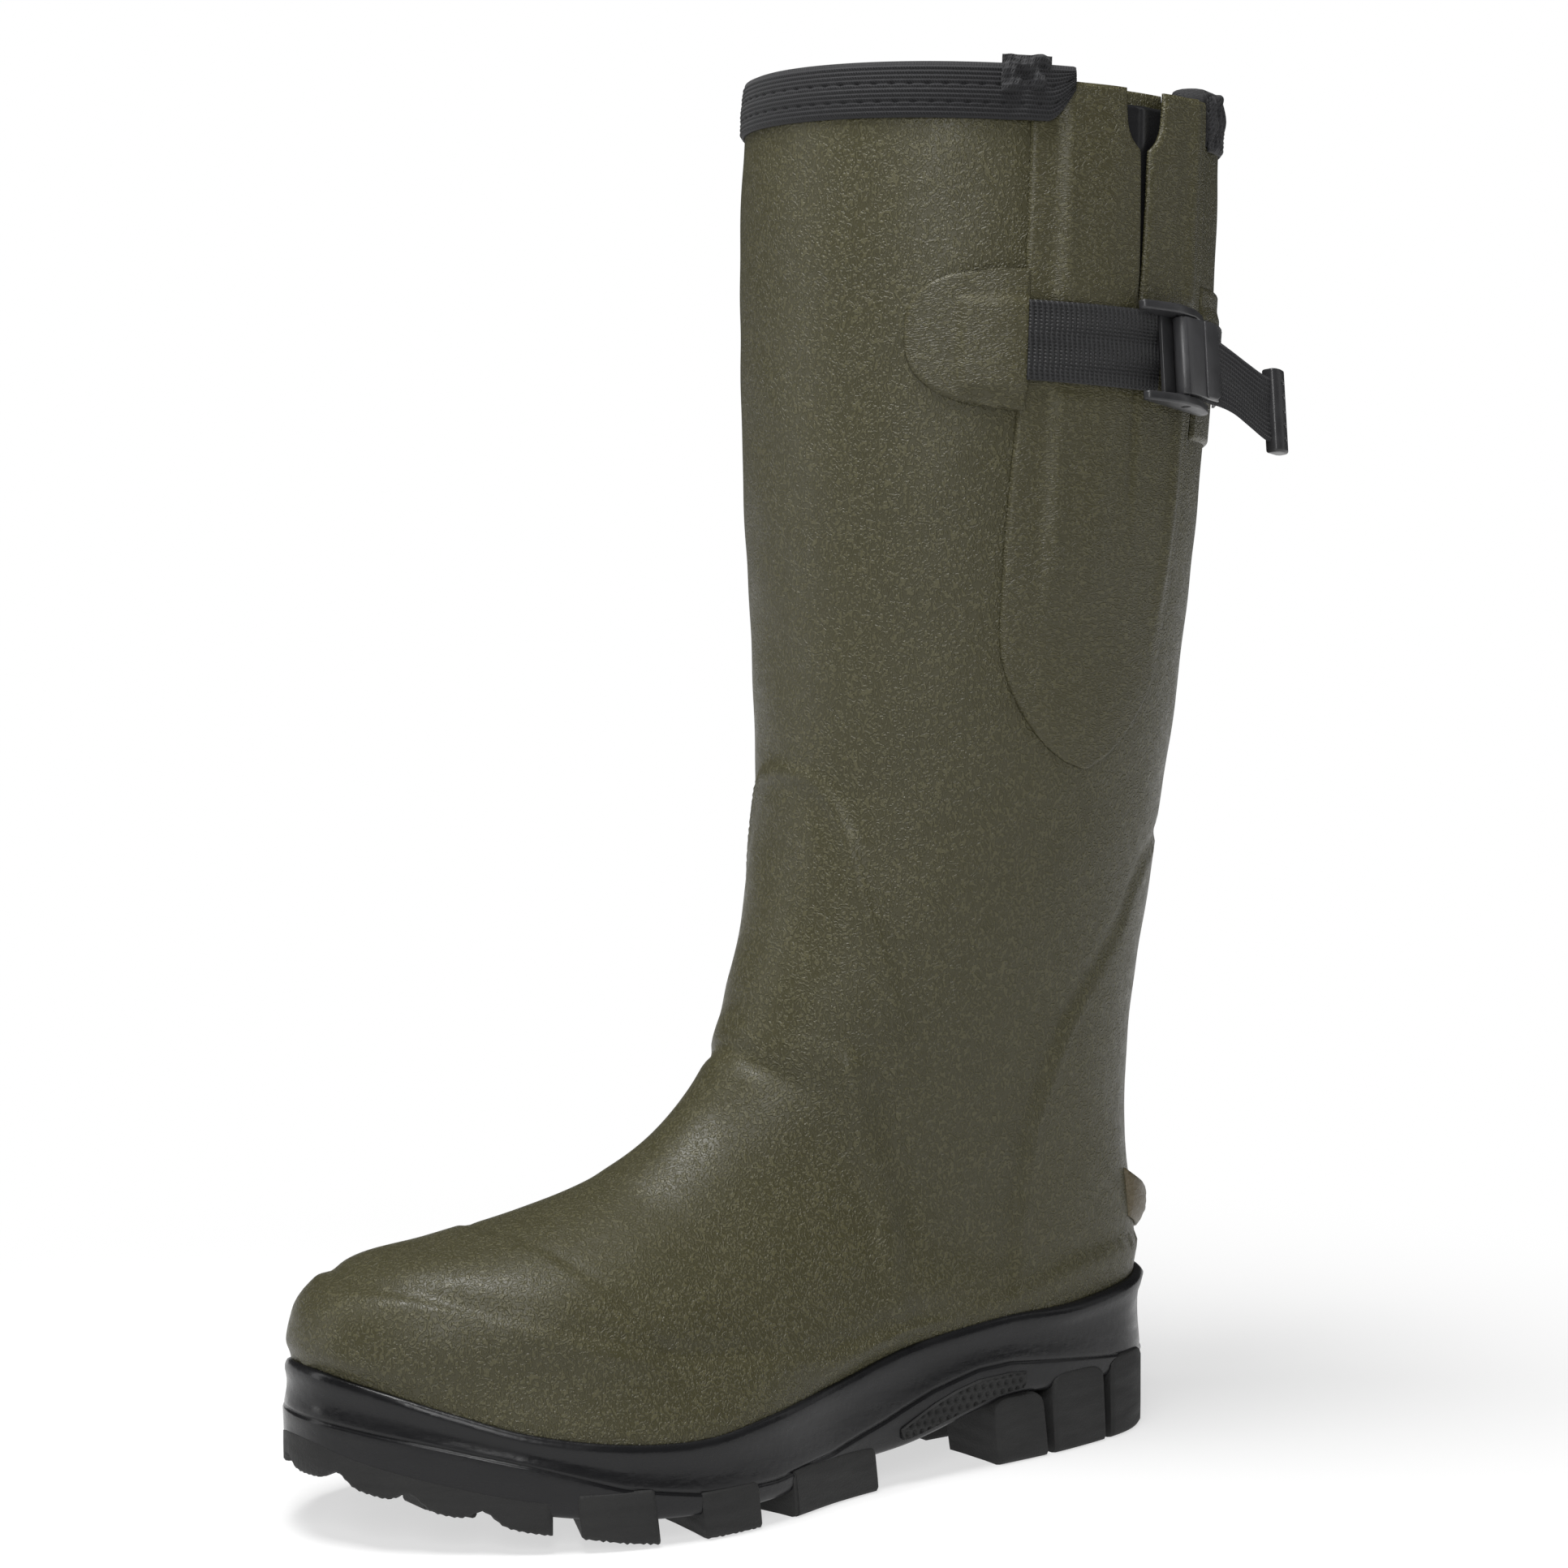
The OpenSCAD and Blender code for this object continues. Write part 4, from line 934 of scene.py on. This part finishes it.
# pressed flat where the strap lies over it
under_strap = between(GU, 1.5, 2.15, 0.1, 0.1)
panel_out += under_strap * (np.minimum(panel_out, 2.5) - panel_out)
flap_keep = np.ones((len(gusset_u) - 1, GA.shape[1] - 1), bool)
flap_keep[gusset_u[:-1] < 1.5, front_cols - 1] = False
gusset = layer("gusset_panel", skin(GU, GT, panel_out), skin(GU, GT, 0.55), flap_keep)
# the last colour is the painted highlight on the patches' wrinkle crests
patch_rubber = olive_rubber("olive patch rubber", (0.7, 0.7, 1.5), 330.0, (0.039, 0.035, 0.015, 1),
                            (0.056, 0.051, 0.023, 1), (0.092, 0.085, 0.042, 1), 0.00026)
gusset.data.materials.append(patch_rubber)
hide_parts("gusset_front_flap", "gusset_rear_flap")
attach(gusset, "boot")

pleat_u = np.linspace(0.2, 2.98, 110)
pleat_a = np.linspace(81.2, 114.8, 60)
PU, PA = np.meshgrid(pleat_u, pleat_a, indexing="ij")
fold_depth = 3.1 * (1 - np.abs(PA - slit_angle) / 17) ** 1.0 * (1 - 0.4 * soft_step(PU - 1.5, 2))
swell = 2.2 * hump(PA - slit_angle, 4.5) * (1 - soft_step(PU - 0.9, 0.9))
pleat = layer("gusset_pleat", skin(PU, even(PU, PA), 0.1 - fold_depth + swell),
              skin(PU, even(PU, PA), -0.9 - fold_depth + swell * 0.6))
pleat.data.materials.append(black_rubber("shiny pleat rubber", (0.010, 0.010, 0.011, 1),
                                         (0.017, 0.017, 0.018, 1), 0.2, 0.32, 300.0, 0.0001))
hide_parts("gusset_bellows")
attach(pleat, "boot")

backing_u = np.linspace(0.1, 0.6, 18)
BU, BA = np.meshgrid(backing_u, np.linspace(86, 110, 34), indexing="ij")
backing = layer("pleat_backing", skin(BU, even(BU, BA), -3.2 - 0.3 * hump(BU - 0.1, 0.05)),
                skin(BU, even(BU, BA), -4.2))
backing.data.materials.append(upper_rubber)
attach(backing, "boot")

# ---- Anchor patches ----
# Two olive rubber patches hold the strap: a half-round one in front, swollen where the end of
# the webbing lies under it, and a straight one behind the gusset.


def station_at(z):
    heights = (STATIONS[:6, 1] + STATIONS[:6, 3]) / 2
    return np.interp(-np.asarray(z, float), -heights, np.arange(6))


def patch_edge(grid):
    """How much lower a patch lies near the rim of its grid, where it is cut round."""
    rim = np.vstack([grid[:, 0], grid[:, -1], grid[0], grid[-1]])
    gap = gap_to(grid, np.vstack([rim, (rim[1:] + rim[:-1]) / 2]))
    return 0.9 * np.clip(1 - gap / 1.5, 0, 1) ** 2


strap_z = 344
top_u, low_u = station_at(strap_z + 21.5), station_at(strap_z - 21.5)
pu = np.linspace(top_u, low_u, 76)
v = (pu - top_u) / (low_u - top_u) * 2 - 1
start_a = 64.2 - 30 * (1 - np.abs(v) ** 2.7) ** (1 / 2.7)
AA = start_a[:, None] + (64.3 - start_a)[:, None] * np.linspace(0, 1, 80)
AU = pu[:, None] + 0 * AA
base_patch = skin(AU, even(AU, AA), 1.6)
AZ = base_patch[..., 2] * 1000
swollen = between(AZ, strap_z - 13.5, strap_z + 13.5, 4, 4) * soft_step(AA - 47.5, 4.5)
lift = 1.0 * soft_step(AA - 55, 12)
front_out = 1.5 + lift + 1.35 * swollen - patch_edge(base_patch)
front_patch = layer("front_anchor", skin(AU, even(AU, AA), front_out),
                    skin(AU, even(AU, AA), 0.3 + 0 * AA))

ru = np.linspace(top_u - 0.02, low_u + 0.06, 70)
RA = np.linspace(126.8, 158, 64)[None, :] + 0 * ru[:, None]
RU = ru[:, None] + 0 * RA
base_rear = skin(RU, even(RU, RA), 1.6)
RZ = base_rear[..., 2] * 1000
rear_swell = between(RZ, strap_z - 13, strap_z + 13, 4, 4) * (1 - soft_step(RA - 150, 5))
rear_out = 1.7 + 0.9 * rear_swell - patch_edge(base_rear)
rear_patch = layer("rear_anchor", skin(RU, even(RU, RA), rear_out),
                   skin(RU, even(RU, RA), 0.3 + 0 * RA))
for patch, node in ((front_patch, "front_anchor_patch"), (rear_patch, "rear_anchor_patch")):
    patch.data.materials.append(patch_rubber)
    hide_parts(node)
    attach(patch, "boot")

# ---- Elastic binding ----
# Black ribbed elastic folded over the mouth and sewn through twice. Its ends are turned under
# and bunched beside the gusset.
binding_low = 17 / 45
ends = (127.0, 434.0)
stitch_rows, stitch_pitch = (5.2, 11.1), 5.4
band, rib_pitch = 17, 1.48
n_long = 600
b_angle = np.linspace(*ends, n_long)
b_run = np.concatenate([[0], np.cumsum(np.linalg.norm(np.diff(
    skin(0, even(0, b_angle), 2), axis=0), axis=1))]) * 1000
leg = np.linspace(0, 1, 52)
lower = binding_low * (1 - 0.55 * np.clip((b_angle - 427) / 7, 0, 1) ** 1.6)
over_flap = 1.9 * soft_step(b_angle - 419.5, 5)
rows, runs = [], []
for f in leg:
    height = band * f
    u = lower * (1 - f) + 0.03 * f
    bulge = 1.75 + 0.45 * math.sin(math.pi * f) - 0.9 * max(0.0, 1 - f * 14) ** 2
    ribs = 0.17 * math.cos(2 * math.pi * height / rib_pitch)
    rise = np.full(n_long, bulge + ribs)
    for row in stitch_rows:
        near = hump(height - row, 0.62)
        spot = (b_run + (row > 8) * 1.3) % stitch_pitch
        hole = hump(spot - stitch_pitch / 2, 0.75)
        rise = rise - near * (0.3 + 0.5 * hole) + 0.22 * hump(height - row, 0.34) * (1 - hole)
    rise = rise + 0.10 * hump(height - 0.9, 1.0) * np.cos(2 * math.pi * b_run / 1.1)
    rows.append(skin(u, even(0, b_angle), rise + over_flap))
    runs.append(np.column_stack([b_run, np.full(n_long, height), 0 * b_run]))
for u, d in ((0.012, 1.5), (0.0, 0.3), (-0.008, -1.8), (-0.01, -4), (-0.008, -6.2), (0.0, -8),
             (0.012, -9), (0.03, -9.4)):
    rows.append(skin(u, even(0, b_angle), d + over_flap * max(0.0, (d + 4) / 5.5)))
    runs.append(np.column_stack([b_run, np.full(n_long, band + 1.5 - d), 0 * b_run]))
for f in np.linspace(0.08, 1, 16):
    rows.append(skin(0.03 + (lower - 0.03) * f, even(0, b_angle),
                     -9.4 + 0.14 * math.cos(2 * math.pi * f * 11)))
    runs.append(np.column_stack([b_run, np.full(n_long, 30 + 16 * f), 0 * b_run]))
for u, d in ((1.0, -8.4), (0.35, -8.2), (0.35, 0.45), (1.0, 0.45)):
    rows.append(skin(lower * u, even(0, b_angle), d + over_flap * max(0.0, (d + 4) / 5.5)))
    runs.append(np.column_stack([b_run, np.full(n_long, 50 + u), 0 * b_run]))
binding = merge("mouth_binding", [np.array(rows).transpose(1, 0, 2)],
                np.array(runs).transpose(1, 0, 2))


def woven(name, dark, light, along_pitch, across_pitch, slant, depth, rough):
    """Thread-covered cloth drawn from the piece's own run of mm along and across, its raised threads
    lightened by a painted highlight.
    """
    mat, put, plug, _ = shader(name)
    run = put("Attribute", attribute_name="run")
    parts = put("SeparateXYZ", ("Vector", run.outputs["Vector"]))
    along = put("Math", (0, parts.outputs["X"]), (1, 2 * math.pi / along_pitch), operation="MULTIPLY")
    leaning = put("Math", (0, parts.outputs["Y"]), (1, slant), (2, along.outputs[0]),
                  operation="MULTIPLY_ADD")
    wave_a = put("Math", (0, leaning.outputs[0]), operation="SINE")
    across_v = put("Math", (0, parts.outputs["Y"]), (1, 2 * math.pi / across_pitch),
                   operation="MULTIPLY")
    wave_b = put("Math", (0, across_v.outputs[0]), operation="SINE")
    fuzz = put("TexNoise", ("Vector", run.outputs["Vector"]), ("Scale", 2.2), ("Detail", 3.0))
    both = put("Math", (0, wave_a.outputs[0]), (1, wave_b.outputs[0]), operation="MAXIMUM")
    tall = put("Math", (0, fuzz.outputs["Fac"]), (1, 0.9), (2, both.outputs[0]),
               operation="MULTIPLY_ADD")
    # painted highlight: the higher a thread stands, the lighter its colour, and the low ones keep the
    # black
    thread_highlight_mask = put("MapRange", ("Value", tall.outputs[0]), ("From Min", -0.4), ("From Max", 1.4))
    tone = put("Mix", (0, thread_highlight_mask.outputs["Result"]), (6, dark), (7, light), data_type="RGBA")
    bump = put("Bump", ("Height", tall.outputs[0]), ("Strength", 0.7), ("Distance", depth))
    plug("Base Color", tone.outputs[2])
    plug("Normal", bump.outputs["Normal"])
    plug("Roughness", rough)
    plug("Specular IOR Level", 0.35)
    plug("Sheen Weight", 0.08)
    plug("Sheen Roughness", 0.45)
    return mat


# the light colour is the painted highlight on the raised ribs of the black elastic
elastic = woven("ribbed elastic", (0.004, 0.004, 0.0045, 1), (0.019, 0.019, 0.021, 1), 0.85, 1.48,
                3.2, 0.00016, 0.72)
binding.data.materials.append(elastic)
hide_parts("top_binding")
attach(binding, "boot")


def gathered(name, a0, a1, u0, u1, rise, crown, folds, seed):
    """A crumpled end of the elastic: a strip thrown into folds with a ragged rim."""
    uu, aa = np.meshgrid(np.linspace(u0, u1, 54), np.linspace(a0, a1, 54), indexing="ij")
    across, down = (aa - a0) / (a1 - a0), (uu - u0) / (u1 - u0)
    body = np.clip(1 - (2 * across - 1) ** 4, 0, 1) * np.clip(1 - (2 * down - 1) ** 6, 0, 1)
    wave = np.sin(across * folds * 6.3 + seed + 2.2 * np.sin(down * 5 + seed))
    wave += 0.6 * np.sin(down * 13 + 4 * across + seed * 2) + 0.3 * np.sin(across * 41 + down * 9)
    out = rise + (crown * (0.55 + 0.3 * wave)) * body
    lifted = uu - 0.05 * (1 - down) ** 2 * (0.6 + 0.5 * np.sin(across * 9 + seed)) * body
    run = np.stack([across * (a1 - a0) * 1.3, down * (u1 - u0) * 45, 0 * uu], -1)
    return layer(name, skin(lifted, even(0.1, aa), out), skin(lifted, even(0.1, aa), rise - 0.8),
                 run=run)


front_end = gathered("binding_knot_front", 55.0, 67.5, -0.05, 0.2, 3.0, 2.8, 2.0, 1.0)
rear_end = gathered("binding_knot_rear", 127.5, 137.5, 0.02, 0.42, 2.4, 2.4, 1.5, 2.6)
for knot, node in ((front_end, "binding_front_end"), (rear_end, "binding_rear_end")):
    knot.data.materials.append(elastic)
    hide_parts(node)
    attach(knot, "boot")

# ---- Strap webbing ----
# Black nylon webbing 24 mm wide, ribbed across like a ladder. One length runs from the front
# patch to the buckle, a short one holds the buckle to the rear patch.
web_half = 12


def web_strip(name, a0, a1, inner, outer, pitch, amplitude):
    mid_u = station_at(strap_z)
    n = 10
    line = skin(mid_u, even(mid_u, np.linspace(a0, a1, 400)), outer)
    total = np.linalg.norm(np.diff(line, axis=0), axis=1).sum() * 1000
    cols = int(total / pitch * n)
    ang = np.linspace(a0, a1, cols)
    mm = np.linspace(0, total, cols)
    height = np.linspace(web_half, -web_half, 42)
    uu = station_at(strap_z + height)[:, None] + 0 * mm
    aa = ang[None, :] + 0 * uu
    rim = np.clip((web_half - np.abs(height)) / 0.9, 0, 1)[:, None]
    rib = amplitude * (np.abs(np.sin(math.pi * mm / pitch)) ** 0.7 - 0.5)
    rung = 0.09 * np.cos(2 * math.pi * (height[:, None] / 1.1 + 0.5 * np.floor(mm / pitch)))
    out = outer + (rib + rung * np.abs(np.sin(math.pi * mm / pitch))) * rim - 0.35 * (1 - rim) ** 2
    run = np.stack([mm + 0 * uu, height[:, None] + 0 * aa, 0 * aa], -1)
    return layer(name, skin(uu, even(uu, aa), out), skin(uu, even(uu, aa), inner + 0 * out), run=run)


weave_pitch = 1.72
front_web = web_strip("front_webbing_strip", 63.6, 104, 2.3, 4.1, weave_pitch, 0.5)
rear_web = web_strip("rear_webbing_strip", 118, 152, 2.3, 3.4, weave_pitch, 0.4)
# the light colour is the painted highlight on the raised threads of the black webbing
webbing = woven("nylon webbing", (0.0015, 0.0015, 0.0017, 1), (0.018, 0.018, 0.0195, 1), weave_pitch, 1.1,
                0.6, 0.0002, 0.5)
for strip, node in ((front_web, "front_webbing"), (rear_web, "rear_webbing")):
    strip.data.materials.append(webbing)
    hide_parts(node)
    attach(strip, "boot")

# ---- Buckle ----
# Moulded black nylon cam buckle: a back plate with two ears that carry the hinge pin, and a
# lever whose barrel bites the webbing when its plate lies flat.
buckle_place = (Matrix.Translation((0.064605, 0.09548, 0.341172))
                @ Matrix.Rotation(math.radians(18), 4, "Z")
                @ Matrix.Rotation(math.radians(-8), 4, "Y") @ Matrix.Rotation(math.radians(-7), 4, "X"))


def prism(name, outline_mm, z0, z1, bevel, segments=3):
    """A flat outline in the buckle's own frame, drawn up from z0 to z1 and bevelled all round."""
    pick()
    bpy.ops.mesh.primitive_plane_add(size=0.001)
    block = bpy.context.object
    block.name = name
    work = bmesh.new()
    corners = [work.verts.new((x * MM, y * MM, z0 * MM)) for x, y in outline_mm]
    work.faces.new(corners)
    work.to_mesh(block.data)
    work.free()
    bpy.ops.object.mode_set(mode="EDIT")
    bpy.ops.mesh.select_all(action="SELECT")
    bpy.ops.mesh.extrude_region_move(TRANSFORM_OT_translate={"value": (0, 0, (z1 - z0) * MM)})
    bpy.ops.mesh.select_all(action="SELECT")
    bpy.ops.mesh.normals_make_consistent(inside=False)
    bpy.ops.object.mode_set(mode="OBJECT")
    rounding = block.modifiers.new("rounding", "BEVEL")
    rounding.width = bevel * MM
    rounding.segments = segments
    rounding.limit_method = "ANGLE"
    rounding.angle_limit = math.radians(28)
    bpy.ops.object.modifier_apply(modifier="rounding")
    return block


def assemble(name, blocks, material):
    """Join blocks drawn in the buckle's frame into one piece at its place on the boot."""
    pick(*blocks)
    if len(blocks) > 1:
        bpy.ops.object.join()
    piece = bpy.context.object
    piece.name = name
    piece.data.transform(buckle_place)
    piece.data.materials.clear()
    piece.data.materials.append(material)
    bpy.ops.object.shade_smooth_by_angle(angle=math.radians(35))
    return piece


def moulded_plastic(name, dark, light, rough):
    mat, put, plug, _ = shader(name)
    spot = put("TexCoord").outputs["Object"]
    fine = put("TexNoise", ("Vector", spot), ("Scale", 2400.0), ("Detail", 2.0))
    broad = put("TexNoise", ("Vector", spot), ("Scale", 120.0), ("Detail", 4.0))
    tone = put("Mix", (0, broad.outputs["Fac"]), (6, dark), (7, light), data_type="RGBA")
    sheen = put("MapRange", ("Value", broad.outputs["Fac"]), ("From Min", 0.3), ("From Max", 0.7),
                ("To Min", rough - 0.06), ("To Max", rough + 0.08))
    bump = put("Bump", ("Height", fine.outputs["Fac"]), ("Strength", 0.35), ("Distance", 0.00008))
    plug("Base Color", tone.outputs[2])
    plug("Roughness", sheen.outputs["Result"])
    plug("Normal", bump.outputs["Normal"])
    return mat


nylon = moulded_plastic("black nylon", (0.020, 0.020, 0.021, 1), (0.036, 0.036, 0.038, 1), 0.34)
window, rail = 25, 3
ear = [(0.0, -16.5), (2.2, -16.5), (3.0, -15.4), (6.2, -6.4), (7.0, -3.6), (7.0, 5.6),
       (6.4, 8.2), (4.2, 15.2), (3.4, 16.5), (0.0, 16.5)]
half_window = window / 2 + 0.4
frame_blocks = [prism("base plate", [(0.0, -5.5), (1.5, -5.5), (1.5, 16.3), (0.0, 16.3)],
                      -half_window, half_window, 0.4),
                prism("ear low", ear, -window / 2 - rail, -window / 2, 0.7),
                prism("ear high", ear, window / 2, window / 2 + rail, 0.7)]
buckle = assemble("buckle_body", frame_blocks, nylon)
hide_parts("buckle_frame")
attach(buckle, "boot")

pin_x, pin_y, lever_half = 4.6, 1.0, 12.0
barrel = [(pin_x + 2.7 * math.cos(a), pin_y + 2.7 * math.sin(a))
          for a in np.linspace(0.35 * math.pi, 1.75 * math.pi, 26)]
lever_profile = barrel + [(pin_x + 2.75, pin_y - 1.2), (pin_x + 3.0, pin_y + 1.5),
                          (pin_x + 3.3, pin_y + 6), (pin_x + 3.3, pin_y + 14.6),
                          (pin_x + 2.6, pin_y + 16.0), (pin_x + 1.9, pin_y + 15.8),
                          (pin_x + 1.5, pin_y + 8), (pin_x + 1.4, pin_y + 4.2)]
# the thumb plate on the lever's back: a flat tile with two wide rounded corners
tile = []
for corner_y, corner_z, radius, first in ((16.7, 12.0, 3.4, 0), (8.6, 12.0, 0.8, 90),
                                          (8.6, -12.0, 0.8, 180), (16.7, -12.0, 3.4, 270)):
    mid_y = corner_y - radius if corner_y > 12 else corner_y + radius
    mid_z = corner_z - math.copysign(radius, corner_z)
    for step in range(7):
        angle = math.radians(first + 15 * step)
        tile.append((mid_y + radius * math.cos(angle), mid_z + radius * math.sin(angle)))
thumb = prism("thumb plate", tile, 0, 1.0, 0.4)
thumb.data.transform(Matrix(((0, 0, 1, (pin_x + 3.0) * MM), (1, 0, 0, 0), (0, 1, 0, 0),
                             (0, 0, 0, 1))))
# painted light: the lever takes a lighter copy of the buckle's black nylon so that it looks more lit than
# the frame
lever = assemble("cam_lever",
                 [prism("lever plate", lever_profile, -lever_half, lever_half, 0.45, 2), thumb],
                 moulded_plastic("lit lever nylon", (0.026, 0.026, 0.027, 1),
                                 (0.050, 0.050, 0.053, 1), 0.32))
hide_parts("buckle_lever")
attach(lever, "lever")

# ---- Strap tail and end clip ----
# The webbing's free end leaves the buckle, bows out and hangs by its own weight, ending in a
# moulded grip with a row of dimples.
reach = np.array([4.5, 12, 20, 26, 32, 39, 45, 49.7])
lift = np.array([0, 0, 0, 0.3, 1.4, 3, 4.2, 4.6])
drop = np.array([0, 0, 0, 0.8, 2.8, 6.2, 8.8, 9.5])
track = smooth_rows(np.column_stack([reach, lift, drop]), np.linspace(0, 7, 120))
strip_rows, strip_runs = [], []
cross = np.linspace(-1, 1, 56)
slope = np.gradient(track[:, 1], track[:, 0])
for (y, x, z), tilt in zip(track, slope):
    width = 11.4 - 0.9 * soft_step(y - 26, 14)
    h = cross * width
    rib = 0.20 * np.cos(h * 2 * math.pi / 1.55)
    ripple = 0.5 * np.sin(h / 5.2 + y / 9) * soft_step(y - 20, 8)
    edge = np.clip((1 - np.abs(cross)) * 14, 0, 1)
    out_x = 1.9 + x + ripple + 0.65 + (0.6 + rib) * edge
    in_x = 1.9 + x + ripple + 0.65 - 0.6 * edge
    side_a = np.column_stack([out_x, np.full(56, y - tilt * 0.3), h - z])
    side_b = np.column_stack([in_x, np.full(56, y + tilt * 0.3), h - z])[::-1]
    strip_rows.append(np.vstack([side_a, side_b[1:-1]]))
    strip_runs.append(np.column_stack([np.full(110, y), np.concatenate([h, h[::-1][1:-1]]),
                                       np.zeros(110)]))
tail = merge("strap_tail_strip", [np.array(strip_rows) * MM], np.array(strip_runs))
tail.data.transform(buckle_place)
tail.data.materials.append(elastic)
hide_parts("strap_tail")
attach(tail, "tail")

clip_y, clip_z, clip_x = 48.6, -9.5, 6.3
clip_profile = [(clip_x - 1.4, clip_y + 1.0), (clip_x - 1.2, clip_y), (clip_x + 2.6, clip_y),
                (clip_x + 3.6, clip_y + 1.6), (clip_x + 3.8, clip_y + 4.2),
                (clip_x + 3.3, clip_y + 6.8), (clip_x + 2.2, clip_y + 8.0),
                (clip_x - 0.6, clip_y + 8.0), (clip_x - 1.4, clip_y + 6.2)]
clip_block = prism("grip", clip_profile, clip_z - 13.4, clip_z + 13.4, 0.9, 4)
cutters = []
for i in range(5):
    pick()
    bpy.ops.mesh.primitive_uv_sphere_add(
        segments=20, ring_count=12, radius=0.0011,
        location=((clip_x + 3.95) * MM, (clip_y + 4.6) * MM, (clip_z + (i - 2) * 4.6) * MM))
    cutters.append(bpy.context.object)
for cutter in cutters:
    pick(clip_block)
    bite = clip_block.modifiers.new("dimple", "BOOLEAN")
    bite.operation, bite.object, bite.solver = "DIFFERENCE", cutter, "EXACT"
    bpy.ops.object.modifier_apply(modifier="dimple")
    bpy.data.objects.remove(cutter)
clip = assemble("strap_end_grip", [clip_block], nylon)
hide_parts("strap_end_clip")
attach(clip, "tail")
